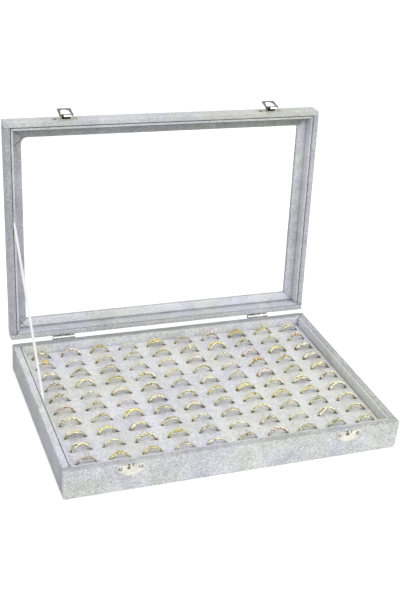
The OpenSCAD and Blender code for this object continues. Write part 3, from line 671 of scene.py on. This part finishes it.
def liner_loop(t, foot, top, inner_r, outer_r):
    return dense([(-t, foot), (0, foot)] + arc(-outer_r, top - outer_r, outer_r, 0, 90)
                 + arc(inner_r - t, top - inner_r, inner_r, 90, 180), 4)


BASE_VELVET = {"left": "velvet_left", "back": "velvet_back"}
LINER_VELVET = {"back": "velvet_back_liner", "right": "velvet_right_liner"}
LID_VELVET = {"left": "velvet_lid_left", "front": "velvet_lid_top", "back": "velvet_lid_back"}
BORDER_VELVET = {"front": "border_far", "back": "border_near", "left": "border_side", "right": "border_right"}
FILLETS = {"left": (-1, 6.5), "right": (1, 5.6)}


def velvet_piece(name, part, mat, nodes, slot="velvet_board", amount=0.16, wave=24.0, fold_at=None, rim=None,
                 lid=False):
    """One piece of board. What the velvet moves stays on its own side of the parting plane."""
    ob = mesh_object(name, *part, mat, weld=0.002)
    slack = 0.2
    if lid:
        ruffle(ob, amount, wave, fold_at, rim, RIM_Z - slack, 1000.0)
        for v in ob.data.vertices:
            v.co = Vector(open_lid(v.co / MM)) * MM
        ob.data.update()
    else:
        ruffle(ob, amount, wave, fold_at, rim, 0.0, BASE_H + slack)
    finish_mesh(ob, "lid" if lid else "base", slot, *nodes)


def make_base_boards():
    wall = board_loop(WALL_T, 0.0, BASE_H, 1.8, 1.0, 0.9)
    liner = liner_loop(LINER_T, 3.6, BASE_H - 0.6, 1.0, 0.4)
    for side, turn in SIDES:
        velvet_piece(f"base_{side}_board", strip(wall, WALL_IN, turn, WALL_T, BASE_CORNERS.get(side)),
                     BASE_VELVET.get(side, "velvet_base"), (f"{side}_wall",), fold_at=WALL_IN, rim=BASE_H)
        gap = 0.15 if side == "left" else 0.6
        if turn in (90, 270):
            half = (LINER_OUT[0], LINER_OUT[1] + gap)
        else:
            half = (LINER_OUT[0] + gap, LINER_OUT[1] - LINER_T)
        velvet_piece(f"base_{side}_liner", strip(liner, half, turn, mitre=False),
                     LINER_VELVET.get(side, "velvet_liner"), (f"{side}_liner",), amount=0.10, wave=18.0)


def make_lid_boards():
    frame_in = WINDOW_HALF[0] - RAIL_IN[0]
    glass_in = -5.6
    rail = dense(
        arc(4.2, LID_TOP - 1.8, 1.8, 90, 0) + arc(4.2, RIM_Z + 1.8, 1.8, 0, -90)
        + arc(0.9, RIM_Z + 0.9, 0.9, -90, -180)
        + [(0, GLASS_FOOT), (glass_in, GLASS_FOOT), (glass_in, GLASS_TOP)]
        + arc(frame_in + 0.8, GLASS_TOP + 0.8, 0.8, 270, 180, 4)
        + arc(frame_in + 1.2, LID_TOP - 1.2, 1.2, 180, 90, 5), 3.5)
    border = dense(arc(frame_in + 0.7, BORDER_FOOT + 0.7, 0.7, 270, 180, 4)
                   + [(frame_in, GLASS_FOOT), (0, GLASS_FOOT), (0, BORDER_FOOT)])
    for side, turn in SIDES:
        at_back = side == "back"
        velvet_piece(f"lid_{side}_board", strip(rail, RAIL_IN, turn, RAIL_T, LID_CORNERS.get(side)),
                     LID_VELVET.get(side, "velvet_lid"), (f"lid_{side}_rail", f"window_{side}_frame"),
                     fold_at=RAIL_IN, rim=RIM_Z, lid=True)
        verts, faces = strip(border, RAIL_IN, turn)
        if side in FILLETS:
            add_fillet(verts, faces, *FILLETS[side])
        velvet_piece(f"lid_{side}_border", (verts, faces), BORDER_VELVET[side], (f"{side}_border",),
                     "border_velvet", 0.12, 14.0, lid=True)
        if turn in (90, 270):
            half = (LID_LINER_OUT[0], LID_LINER_OUT[1] + 0.55 * at_back)
        else:
            half = (LID_LINER_OUT[0] + 0.25 * (side == "left"), LID_LINER_OUT[1] - LID_LINER_T)
        # The closed lid's liners hang down, so their section is drawn the other way up.
        sunk = 0.05 if at_back else 0.6
        liner = [(u, 2 * RIM_Z - z)
                 for u, z in liner_loop(LID_LINER_T, 2 * RIM_Z - BORDER_FOOT, RIM_Z - sunk, 0.9, 0.4)]
        velvet_piece(f"lid_{side}_liner_strip", strip(liner, half, turn, mitre=False), "velvet_lid_liner",
                     (f"lid_{side}_liner",), amount=0.10, wave=18.0, lid=True)


def add_fillet(verts, faces, sx, r):
    """Concave fillet in a front corner of the window, sunk a little into the border."""
    sunk = 0.4
    x, y = sx * WINDOW_HALF[0], -WINDOW_HALF[1]
    curve = [(x - sx * (r - r * cos(a)), y + r - r * sin(a)) for a in (pi / 16 * k for k in range(9))]
    outline = [(x + sx * sunk, y - sunk), (x + sx * sunk, curve[0][1]), *curve[1:-1], (curve[-1][0], y - sunk)]
    base, n = len(verts), len(outline)
    for z in (BORDER_FOOT, BORDER_FOOT + 0.3, GLASS_FOOT):
        verts += [(u, v, z) for u, v in outline]
    faces += caps(3, n, base) + tube(3, n, base)


# ---------- latch levers ----------

def make_lever(side, cx):
    """Sheet lever: cheeks round the pivot, a roof, and a tip rolled over into a grip."""
    half, t, run, curl = 4.3, 0.7, 4.6, 2.3
    roof, foot = -1.8, -1.2
    outer = [(roof, foot)] + [(roof, run * k / 3) for k in range(4)]
    inner = [(roof + t, foot)] + [(roof + t, run * k / 3) for k in range(4)]
    flat, rolled, step = len(outer), 8, 19
    for k in range(1, rolled + 1):
        a = radians(step * k)
        y, z = roof - curl + t, run
        outer.append((y + (curl - t) * cos(a), z + (curl - t) * sin(a)))
        inner.append((y + curl * cos(a), z + curl * sin(a)))
    ring = outer + inner[::-1]
    m, count = len(ring), len(outer)
    # The side that the camera sees is the inner list: painted shade on the roof and at the bend, and a painted
    # highlight at the tip.
    shown = [0.5] * flat + [0.7, 0.9, 0.85, 0.75, 0.3] + [0.0] * (rolled - 5)
    # The outer list is painted black, the edges darker and the cheeks dark, darkest low down: all painted
    # shade.
    edge = {-half: 0.9, half: 0.4}
    verts, low = [], []
    for x in (-half, -half + 0.9, half - 0.6, half):
        shrink = 0.12 if x in edge else 0.0
        for k, (y, z) in enumerate(ring):
            verts.append((x, y + (shrink if k < count else -shrink), z))
            low.append(max(1.0 if k < count else shown[m - 1 - k], edge.get(x, 0.0)))
    faces = tube(4, m)
    for i, order in ((0, -1), (3, 1)):
        for k in range(count - 1):
            faces.append((i * m + k, i * m + k + 1, i * m + m - 2 - k, i * m + m - 1 - k)[::order])
    middle = roof + t / 2
    cheek = [(middle, -0.9), *arc(0, 0, 1.45, -130, 0, 7), *arc(0, 3.2, 1.25, 0, 120), (middle, 4.3)]
    n = len(cheek)
    for side_x in (-1, 1):
        base = len(verts)
        for x in (side_x * (half - t), side_x * half):
            verts += [(x, y, z) for y, z in cheek]
            low += [1.0 if z < 2.4 else 0.5 for y, z in cheek]
        near, far = caps(2, n, base)
        faces += [near, far[::-1]] + tube(2, n, base)
    verts = [open_lid((cx + x, y * cos(PARKED) - z * sin(PARKED) + PIVOT[0],
                       y * sin(PARKED) + z * cos(PARKED) + PIVOT[1])) for x, y, z in verts]
    ob = mesh_object(f"{side}_lever_sheet", verts, faces, "lever_nickel")
    point_values(ob.data, "low", low)
    finish_mesh(ob, f"{side}_lever", "dark_nickel", f"{side}_lever")


# ---------- slotted pad ----------

def cell(v, pitch):
    """The row or column that a place lies in, and how far it lies from that one's middle."""
    k = min(PER_SIDE - 1, max(0, round(v / pitch + MIDDLE)))
    return k, v - (k - MIDDLE) * pitch


def grid_lines(half, pitch, offsets):
    """Grid lines that are close together at the pad's edge and round every slit."""
    found = {round(s * (half - e), 4) for e in (0, 0.15, 0.4, 0.75, 1.15, 1.6, 2.4) for s in (-1, 1)}
    for k in range(PER_SIDE):
        mid = (k - MIDDLE) * pitch
        found |= {round(mid + s * r, 4) for r in offsets for s in (-1, 1)}
        found.add(round(mid + pitch / 2, 4))
    return sorted(v for v in found if abs(v) <= half + 1e-6)


def pad_point(x, y):
    """Height of the velvet at a place, and how much painted shade darkens it there."""
    row, sy = cell(y, PITCH[1])
    col, sx = cell(x, PITCH[0])
    dx, dy = abs(sx), abs(sy)
    key = Vector((col * 1.7, row * 2.3, 0.5))
    reach = (11.5 if sx < 0 else 12.6) + 0.6 * noise.noise(key * 1.9)
    end = unit((reach - dx) / 1.5)
    foot = math.exp(-((dx - 10.9) / 1.3) ** 2)
    wide = 0.15 + (0.3 + 0.1 * noise.noise(key) + 1.1 * foot) * end
    z = PAD_TOP + 0.22 * cos(pi * min(1, dy / (PITCH[1] / 2)) + pi) \
        + 0.16 * noise.noise(Vector((x / 26, y / 17, 3))) + 0.05 * noise.noise(Vector((x / 5, y / 5, 9)))
    lip = math.exp(-((dy - 2.0) / 0.8) ** 2) * (1 if dx < reach else 0.2)
    z += 0.22 * lip * (0.8 + 0.5 * noise.noise(Vector((x / 3, y / 3, row))))
    # dark is painted shade: strongest in the holes at the rings' feet, faint along the slit between them.
    dark = 0.0
    if end > 0 and dy < wide:
        z -= (0.3 + 0.4 * end + 6.0 * foot * end) * (1 - dy / wide) ** 0.7
        dark = (0.06 + 0.94 * foot) * end * (1 - (dy / wide) ** 2)
    elif dy < wide + 1.2 and dx < reach + 1:
        z -= 0.2 * (1 - (dy - wide) / 1.2) * unit(reach + 1 - dx)
    d, r = min(PAD_HALF[0] - abs(x), PAD_HALF[1] - abs(y)), 1.6
    if d < r:
        z -= r - math.sqrt(max(0.0, r ** 2 - (r - d) ** 2))
    return z, dark


def make_pad():
    """Velvet over foam: soft swells between the slits, pressed lips, and holes where the rings go in, darkened
    with painted shade.
    """
    xs = grid_lines(PAD_HALF[0], PITCH[0],
                    [0, 2.2, 4.4, 6.4, 8.0, 8.8, 9.4, 9.9, 10.4, 10.9, 11.4, 11.9, 12.4, 12.9, 13.4, 14.8])
    ys = grid_lines(PAD_HALF[1], PITCH[1], [0, 0.25, 0.5, 0.75, 1.0, 1.3, 1.7, 2.2, 2.9, 3.9, 5.3, 7.2, 9.2])
    verts, slit_shade = [], []
    for y in ys:
        for x in xs:
            z, dark = pad_point(x, y)
            verts.append((x, y, z))
            slit_shade.append(dark)
    w, h = len(xs), len(ys)
    faces = [(j * w + i, j * w + i + 1, (j + 1) * w + i + 1, (j + 1) * w + i)
             for j in range(h - 1) for i in range(w - 1)]
    end = (h - 1) * w
    rim = [*range(w), *range(2 * w - 1, h * w, w), *range(end + w - 2, end - 1, -1), *range(end - w, 0, -w)]
    base, n = len(verts), len(rim)
    for level in (14.0, PAD_FOOT):
        verts += [(verts[k][0], verts[k][1], level) for k in rim]
    faces += [(rim[k], base + k, base + (k + 1) % n, rim[(k + 1) % n]) for k in range(n)]
    faces += [(base + k, base + n + k, base + n + (k + 1) % n, base + (k + 1) % n) for k in range(n)]
    faces.append(tuple(base + n + k for k in range(n)))
    ob = mesh_object("velvet_pad", verts, faces, "velvet_pad")
    point_values(ob.data, "slit_shade", slit_shade + [0.0] * (2 * n))
    finish_mesh(ob, "base", "pad_velvet", "slotted_pad")


# ---------- rings ----------

RING_LOOKS = ("gold", "gold_yellow", "gold_rose", "clear_stone", "pearl", "rose_enamel", "berry_enamel",
              "amber")
GOLD, YELLOW, ROSE, GEM, PEARL, PINK, BERRY, AMBER = range(len(RING_LOOKS))


def sphere_template(cols=8, rows=5):
    """Corners and faces of a ball of radius 1, from its foot to its top."""
    verts = [(0, 0, -1)]
    for j in range(1, rows):
        a = pi * j / rows
        verts += [(x, y, -cos(a)) for x, y in around(cols, sin(a))]
    last = len(verts)
    foot = [(0, 1 + (i + 1) % cols, 1 + i) for i in range(cols)]
    top = [(last, last - cols + i, last - cols + (i + 1) % cols) for i in range(cols)]
    return verts + [(0, 0, 1)], foot + tube(rows - 1, cols, 1) + top


BALL = sphere_template()
# Painted shade under each ball, half as much at its middle.
BALL_UNDER_SHADE = [1.0 if z < -0.2 else 0.5 if z < 0.2 else 0.0 for x, y, z in BALL[0]]
# A band's section: radial and sidewise place, and how much painted shade darkens it there.
BAND = ((0, -0.42, 1.0), (0.2, -0.5, 0.95), (0.6, -0.5, 0.5), (0.9, -0.3, 0.08), (1, 0, 0.0),
        (0.9, 0.3, 0.08), (0.6, 0.5, 0.5), (0.2, 0.5, 0.95), (0, 0.42, 1.0))


def polar(a, r, y=0.0):
    """A point at an angle from the ring's top, in degrees, at radius r and offset y along the finger."""
    return (r * sin(radians(a)), y, r * cos(radians(a)))


class Shape:
    """Collects the parts of one ring, drawn about its own centre; dark holds the painted shade of each point.
    """

    def __init__(self):
        self.verts, self.faces, self.mats, self.dark = [], [], [], []

    def add(self, verts, faces, mat=GOLD, dark=None):
        base = len(self.verts)
        self.verts += verts
        self.dark += dark or [0.0] * len(verts)
        self.faces += [tuple(base + i for i in f) for f in faces]
        self.mats += [mat] * len(faces)

    def ball(self, p, r, mat=GOLD, squash=(1, 1, 1)):
        self.add([tuple(c + r * q * v for c, q, v in zip(p, squash, point)) for point in BALL[0]],
                 BALL[1], mat, BALL_UNDER_SHADE)

    def band(self, half, wide, thick=1.1, shift=0.0, n=40):
        """Domed band to both sides of the top; wide and shift are numbers or functions of the angle."""
        def at(v, a):
            return v(a) if callable(v) else v

        closed = half >= 180
        count, m = (n if closed else n + 1), len(BAND)
        verts = []
        for a in (-half + 2 * half * k / n for k in range(count)):
            verts += [polar(a, RING_BORE + thick * out, at(shift, a) + at(wide, a) * side)
                      for out, side, painted_shade in BAND]
        faces = tube(count, m, closed=closed) + ([] if closed else caps(count, m))
        self.add(verts, faces, dark=[painted_shade for out, side, painted_shade in BAND] * count)

    def wire(self, points, r, sides=6):
        """Tube along points."""
        verts = []
        last = len(points) - 1
        for k, p in enumerate(points):
            a, b = Vector(points[max(0, k - 1)]), Vector(points[min(last, k + 1)])
            way = (b - a).normalized()
            side = way.cross(Vector((0.21, 0.93, 0.3))).normalized()
            top = way.cross(side)
            verts += [tuple(Vector(p) + side * u + top * v) for u, v in around(sides, r)]
        self.add(verts, tube(last + 1, sides) + caps(last + 1, sides))

    def cup(self, p, r0, r1, h, sides=10):
        """Open collet, wider at its mouth, with painted shade inside it and at its foot."""
        levels = ((r0, 0, 0.5), (r1, h, 0.0), (r1 * 0.82, h, 0.3), (r0 * 0.6, 0.2 * h, 0.9))
        verts = [(p[0] + x, p[1] + y, p[2] + z) for r, z, painted_shade in levels for x, y in around(sides, r)]
        dark = [painted_shade for r, z, painted_shade in levels for _ in range(sides)]
        self.add(verts, tube(len(levels), sides, closed=True), dark=dark)

    def stone(self, p, r, mat=GEM, sides=8, tall=1.0):
        """Cut stone: table, crown, girdle and point."""
        verts = [(p[0] + x, p[1] + y, p[2] + z * r * tall)
                 for rr, z, off in ((r * 0.55, 0.5, 0.5), (r, 0.12, 0), (r * 0.96, 0, 0))
                 for x, y in around(sides, rr, off)]
        verts.append((p[0], p[1], p[2] - 0.55 * r * tall))
        crown, girdle = tube(2, sides), tube(2, sides, sides)
        faces = [tuple(range(sides))]
        for a, b, c, d in crown:
            faces += [(a, b, c), (a, c, d)]
        faces += girdle + [(d, c, 3 * sides) for a, b, c, d in girdle]
        self.add(verts, faces, mat)

    def leaf(self, p, way, size):
        """Pointed leaf with a raised rib, lying along way."""
        way = Vector(way).normalized()
        side = way.cross(Vector(p).normalized()).normalized()
        up = side.cross(way)
        verts = []
        rows = ((0, 0.05, 0), (0.3, 0.3, 0.1), (0.6, 0.33, 0.15), (0.85, 0.16, 0.1), (1, 0.02, 0))
        for along, half, rise in rows:
            c = Vector(p) + way * along * size
            verts += [tuple(c - side * half * size), tuple(c + up * (rise + 0.18) * size),
                      tuple(c + side * half * size), tuple(c - up * 0.08 * size)]
        self.add(verts, tube(len(rows), 4) + caps(len(rows), 4))


def over_top(a, half, k=2.0):
    """1 at the ring's top, falling to 0 at the half angle."""
    a = (a + 180) % 360 - 180
    return max(0.0, 1 - abs(a / half) ** k)


def shank(s, w=1.8, top=None, t=1.0, shaded=0.42):
    """The ring's own band; painted shade darkens its top, in the gaps of what stands on it."""
    w *= 1.35
    base = len(s.verts)
    s.band(180, (lambda a: w + (top - w) * over_top(a, 115)) if top else w, t, n=48)
    for k in range(base, len(s.verts)):
        x, y, z = s.verts[k]
        s.dark[k] = max(s.dark[k], shaded * over_top(math.degrees(math.atan2(x, z)), 62, 6.0))


def ring_ornate(s, rnd):
    """Wide band with beaded edges, scrolls and small stones."""
    shank(s, 2.0, 4.2)
    for k in range(-7, 8):
        for side in (-1, 1):
            half = 0.5 * (2.7 + 1.5 * over_top(k * 7.5, 115))
            s.ball(polar(k * 7.5, 9.6, side * (half + 0.1)), 0.42)
    for k in range(-4, 5):
        a = k * 12
        s.wire([polar(a + 5 * cos(u), 9.85, 0.8 * sin(u)) for u in (j * 0.9 for j in range(8))], 0.22)
        s.stone(polar(a, 9.9), 0.5)


def ring_double(s, rnd):
    """Two bands that part over the top, with beads between them."""
    shank(s, 1.6)
    for side in (-1, 1):
        s.band(62, 1.35, 1.05, lambda a, k=side: k * (0.5 + 1.15 * over_top(a, 62)), n=26)
    for k in range(-5, 6):
        s.ball(polar(k * 9, 9.75), 0.45)


def ring_crossed(s, rnd):
    """Two wires that cross over the top, with small stones."""
    shank(s, 1.6)
    for side in (-1, 1):
        s.wire([polar(a, 9.55 + 0.6 * over_top(a, 60), side * 1.9 * sin(radians(a * 1.5)))
                for a in range(-58, 59, 6)], 0.6)
    for k in range(-2, 3):
        s.stone(polar(k * 8, 10.3), 0.5)


def ring_twisted(s, rnd):
    """Two wires wound round each other."""
    shank(s, 1.5)
    for side in (-1, 1):
        points = []
        for a in range(-66, 67, 4):
            turn = radians(a * 8)
            points.append(polar(a, 9.7 + 0.5 * side * sin(turn), 0.75 * side * cos(turn)))
        s.wire(points, 0.5)


def ring_wavy(s, rnd):
    """Two narrow bands that come to a peak, with beads and stones between them."""
    shank(s, 1.5)
    high = rnd.choice((1.5, 1.9))

    def peak(a):
        return high * (1 - min(1, abs(a) / 30))

    for off in (-0.7, 0.8):
        s.band(64, 1.05, 1.0, lambda a, k=off: k + peak(a) - 0.5, n=32)
    for k in range(-4, 5):
        s.ball(polar(k * 6, 9.9, peak(k * 6) - 0.45), 0.36, GEM if k % 2 else GOLD)


def ring_beaded(s, rnd):
    shank(s, 1.7)
    for k in range(-6, 7):
        s.ball(polar(k * 9.2, 9.9), 0.92 - 0.045 * abs(k))


def ring_row(s, rnd):
    """A row of stones in collets between two wires."""
    shank(s, 1.7, 2.9)
    for k in range(-5, 6):
        x, y, z = polar(k * 8.6, 9.85)
        s.cup((x, y, z - 0.3), 0.55, 0.72, 0.75)
        s.stone((x, y, z + 0.45), 0.6)
        for side in (-1, 1):
            s.ball(polar(k * 8.6 + 4.3, 9.8, side * 0.75), 0.32)
    for side in (-1, 1):
        s.wire([polar(a, 9.7, side * 1.25) for a in range(-60, 61, 10)], 0.3)


def ring_cluster(s, rnd):
    """A stone with beads round it, and leaves and beads down both shoulders."""
    shank(s, 1.7)
    s.cup((0, 0, 9.3), 0.9, 1.35, 1.2)
    s.stone((0, 0, 10.75), 1.15)
    for x, y in around(8):
        s.ball((2.15 * x, 1.95 * y, 10.15), 0.72)
        s.stone((2.15 * x, 1.95 * y, 10.85), 0.36)
    for side in (-1, 1):
        for k in range(3):
            s.ball(polar(side * (20 + 8 * k), 9.8), 0.68 - 0.1 * k)
        for y in (0.35, -0.35):
            s.leaf(polar(side * 15, 9.9), (side, y, -0.35), 2.2)


def ring_dome(s, rnd):
    """A dome set with beads and stones in rounds."""
    shank(s, 1.8)
    s.ball((0, 0, 8.9), 2.6, squash=(1.35, 0.95, 0.72))
    for level, (r, count, z) in enumerate(((3.3, 12, 9.75), (2.1, 8, 10.75), (0.95, 4, 11.4))):
        for k, (x, y) in enumerate(around(count, r, 0.5 * level)):
            s.ball((1.1 * x, 0.8 * y, z - 0.11 * abs(x)), 0.52, GOLD if k % 3 else GEM)
    s.ball((0, 0, 11.75), 0.55)


def ring_solitaire(s, rnd):
    """A collet with six prongs for a stone, and small stones down both shoulders."""
    shank(s, 1.5, 2.3)
    s.cup((0, 0, 9.4), 0.75, 1.55, 1.7)
    for x, y in around(6):
        s.wire([(0.8 * x, 0.8 * y, 9.4), (1.62 * x, 1.62 * y, 11.0), (1.5 * x, 1.5 * y, 11.6)], 0.22)
    for side in (-1, 1):
        for k in range(3):
            x, y, z = polar(side * (13 + 7.5 * k), 9.85)
            s.stone((x, y, z + 0.15), 0.55 - 0.06 * k)
            s.ball((x, y, z - 0.25), 0.6 - 0.06 * k)


def ring_amber(s, rnd):
    ring_solitaire(s, rnd)
    for x, y in around(12):
        s.ball((2.3 * x, 2.1 * y, 10.7), 0.42)


def ring_flower(s, rnd):
    """Leaves on both sides of a seat for the blossom."""
    shank(s, 1.5)
    s.cup((0, 0, 9.4), 0.7, 1.2, 1.5)
    for side in (-1, 1):
        s.leaf(polar(side * 10, 9.9), (side, 0.5, -0.1), 3.0)
        s.leaf(polar(side * 10, 9.9), (side, -0.6, -0.1), 2.6)


def ring_pearl(s, rnd):
    """Leaves down both shoulders of a seat for the pearl."""
    shank(s, 1.6)
    s.cup((0, 0, 9.3), 0.8, 1.25, 0.8)
    for side in (-1, 1):
        for k in range(3):
            y = 0.8 * (-1) ** k
            s.leaf(polar(side * (8 + 9 * k), 9.8), (side, y, 0.2), 2.6 - 0.3 * k)
            s.leaf(polar(side * (10 + 9 * k), 9.8), (side, -y, 0.1), 2.3 - 0.3 * k)


def ring_crown(s, rnd):
    """Posts with balls, highest in the middle, and arches between them."""
    shank(s, 1.7, 2.6)
    for k in range(-3, 4):
        lift = 1.5 - 0.42 * abs(k)
        a = k * 11
        s.wire([polar(a, 9.5), polar(a, 9.9 + lift)], 0.34)
        s.ball(polar(a, 10.0 + lift), 0.62 - 0.05 * abs(k), GOLD if k % 2 else GEM)
        if k < 3:
            s.wire([polar(a, 9.9), polar(a + 5.5, 10.4 + 0.5 * lift), polar(a + 11, 9.9)], 0.22)


def blossom(s, mat):
    """Three small flowers side by side over the ring's top, the middle one the largest."""
    for spread, size in ((-25, 0.72), (0, 1.0), (25, 0.72)):
        x, y, z = polar(spread, 10.25)
        for k in range(5):
            a = 2 * pi * k / 5 + spread
            s.ball((x + 1.3 * size * cos(a), y + 1.3 * size * sin(a), z), 0.74 * size, mat, (1, 1, 0.6))
        s.ball((x, y, z + 0.45 * size), 0.62 * size, YELLOW)


# Which ring stands where, from the back row to the front one.
LAYOUT = ("ktcpdcPosd", "AppsbrxcsF", "wcgppmpmww", "cxgtpbpBsw", "cpwbsmswcm",
          "bcpwbvwtdb", "tcxgwgvvvx", "dmwgpgtsct", "xptrspcpxb", "cvvspctgcr")
DESIGNS = {
    "p": ("plain", lambda s, rnd: shank(s, 1.9, t=0.95, shaded=0.0)),
    "m": ("wide", lambda s, rnd: shank(s, 1.9, 3.9, 1.15, shaded=0.0)),
    "w": ("wide", lambda s, rnd: shank(s, 2.4, 4.6 + rnd.uniform(-0.3, 0.4), 1.15, shaded=0.0)),
    "o": ("wide", ring_ornate),
    "x": ("crossed", ring_crossed), "t": ("crossed", ring_twisted), "v": ("crossed", ring_wavy),
    "b": ("beaded", ring_beaded), "g": ("beaded", ring_row), "c": ("cluster", ring_cluster),
    "k": ("cluster", ring_dome), "s": ("solitaire", ring_solitaire), "A": ("solitaire", ring_amber),
    "F": ("solitaire", ring_flower), "B": ("solitaire", ring_flower), "P": ("solitaire", ring_pearl),
    "r": ("crown", ring_crown), "d": ("double", ring_double),
}

# What stands on a ring in a piece of its own: the piece's name, and how it is drawn.
HEADS = {
    "s": ("stones_clear", lambda s: s.stone((0, 0, 11.15), 1.5)),
    "A": ("stone_amber", lambda s: s.stone((0, 0, 10.7), 3.2, AMBER, tall=0.5)),
    "F": ("flowers_enamel", lambda s: blossom(s, PINK)),
    "B": ("flowers_enamel", lambda s: blossom(s, BERRY)),
    "P": ("pearl_bead", lambda s: s.ball((0, 0, 10.9), 1.6, PEARL)),
}
HEAD_NODES = (("stones_clear", "clear_stone", "clear_stones"), ("stone_amber", "amber", "amber_stone"),
              ("flowers_enamel", "rose_enamel", "rose_stones"), ("pearl_bead", "pearl", "pearl"))


def grown(v, wide):
    """A point of a ring with what stands above the band made taller, and the upper half made wider."""
    band_r = 9.6
    r = math.hypot(v[0], v[2])
    k = (band_r + (r - band_r) * 1.4) / r if r > band_r else 1.0
    return Vector((v[0] * k, v[1] * (1 + (wide - 1) * unit(v[2] / 8.0)), v[2] * k))


def make_rings():
    """Every ring stands in its slit, turned and leaned a little; one piece for each kind."""
    rnd = random.Random(5)
    kinds, heads = {}, {}
    for r, line in enumerate(LAYOUT):
        for c, letter in enumerate(line):
            kind, draw = DESIGNS[letter]
            own = Shape()
            draw(own, rnd)
            parts = [(own, kinds.setdefault(kind, Shape()))]
            if letter in HEADS:
                name, draw_head = HEADS[letter]
                head = Shape()
                draw_head(head)
                parts.append((head, heads.setdefault(name, Shape())))
            plating = rnd.choices((GOLD, YELLOW, ROSE), (8, 3, 1))[0]
            own.mats = [plating if m == GOLD else m for m in own.mats]
            turn = Matrix.Identity(4)
            for axis, low, high in (("Z", -3.5, 3.5), ("X", -4, 3), ("Y", -5, 5)):
                turn = turn @ Matrix.Rotation(radians(rnd.uniform(low, high)), 4, axis)
            turn = turn @ Matrix.Diagonal((*RING_SIZE, 1))
            wide = 1.0 if letter in "pmw" else 1.25
            z = RING_Z + rnd.uniform(-0.35, 0.25)
            place = Vector(((c - MIDDLE) * PITCH[0], (MIDDLE - r) * PITCH[1], z))
            for shape, home in parts:
                moved = [turn @ grown(v, wide) + place for v in shape.verts]
                base = len(home.verts)
                home.verts += [tuple(v) for v in moved]
                # Painted shade: each point is darker the lower it stands, towards the pad.
                home.dark += [min(1.0, max(d, (25.0 - v.z) / 2.4)) for d, v in zip(shape.dark, moved)]
                home.faces += [tuple(base + i for i in f) for f in shape.faces]
                home.mats += shape.mats
    for kind, shape in kinds.items():
        ring_object(f"rings_{kind}", shape, "gold", f"{kind}_rings")
    for name, slot, node in HEAD_NODES:
        ring_object(name, heads[name], slot, node)


def ring_object(name, shape, slot, node):
    me = mesh_of(name, shape.verts, shape.faces, RING_LOOKS)
    me.polygons.foreach_set("material_index", shape.mats)
    me.polygons.foreach_set("use_smooth", [m not in (GEM, AMBER) for m in shape.mats])
    # The painted shade goes to the material as the low values.
    point_values(me, "low", [max(0.0, d) for d in shape.dark])
    me.update()
    finish_mesh(placed(name, me), "base", slot, node)


# ---------- ribbon ----------

def make_ribbon():
    """Satin ribbon that stops the lid: edgewise in both grooves and flat between them."""
    half_w, half_t, n = 1.25, 0.2, 64
    held = 8  # in each groove, so 16 in all
    up = Vector((0, 0, 1))
    lid_up, lid_out = Vector((0, sin(-OPEN), cos(-OPEN))), Vector((0, -cos(-OPEN), sin(-OPEN)))
    a = Vector((0.5 - WALL_IN[0], AXIS[0] - 127, BASE_H + 0.6))
    b = Vector((0.5 - RAIL_IN[0], AXIS[0], AXIS[1])) + lid_out * 141 + lid_up * (0.25 - 0.6)
    way = (b - a).normalized()
    span = (b - a).length
    rows = [(a - up * held, up, 0.0), (a - up * 3, up, 0.0)]
    for k in range(n + 1):
        s = span * k / n
        twist = min(1.0, s / 9.0, (span - s) / 9.0)
        twist = twist * twist * (3 - 2 * twist)
        t = way if 0 < k < n else (way + (up if k == 0 else lid_up)).normalized()
        rows.append((a + way * s, t, twist))
    rows += [(b + lid_up * 3, lid_up, 0.0), (b + lid_up * held, lid_up, 0.0)]
    edge = [(-1, 0.6), (-0.93, 1), (-0.5, 0.8), (0, 0.75), (0.5, 0.8), (0.93, 1), (1, 0.6)]
    section = edge + [(x, -z) for x, z in edge[::-1]]
    across = Vector((1, 0, 0))
    verts = []
    for p, t, turn in rows:
        q = radians(90 * turn)
        w = (cos(q) * t.cross(across) + sin(q) * across).normalized()
        nrm = w.cross(t).normalized()
        verts += [tuple(p + w * half_w * x + nrm * (half_t * z + 0.12 * turn * (1 - x * x)))
                  for x, z in section]
    count = (len(rows), len(section))
    ob = mesh_object("satin_ribbon", verts, tube(*count) + caps(*count), "ribbon")
    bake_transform(ob)
    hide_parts("lid_ribbon")


paint_cad()
make_base_boards()
make_lid_boards()
for side, cx in zip(("left", "right"), LATCH_X):
    make_lever(side, cx)
make_pad()
make_rings()
make_ribbon()
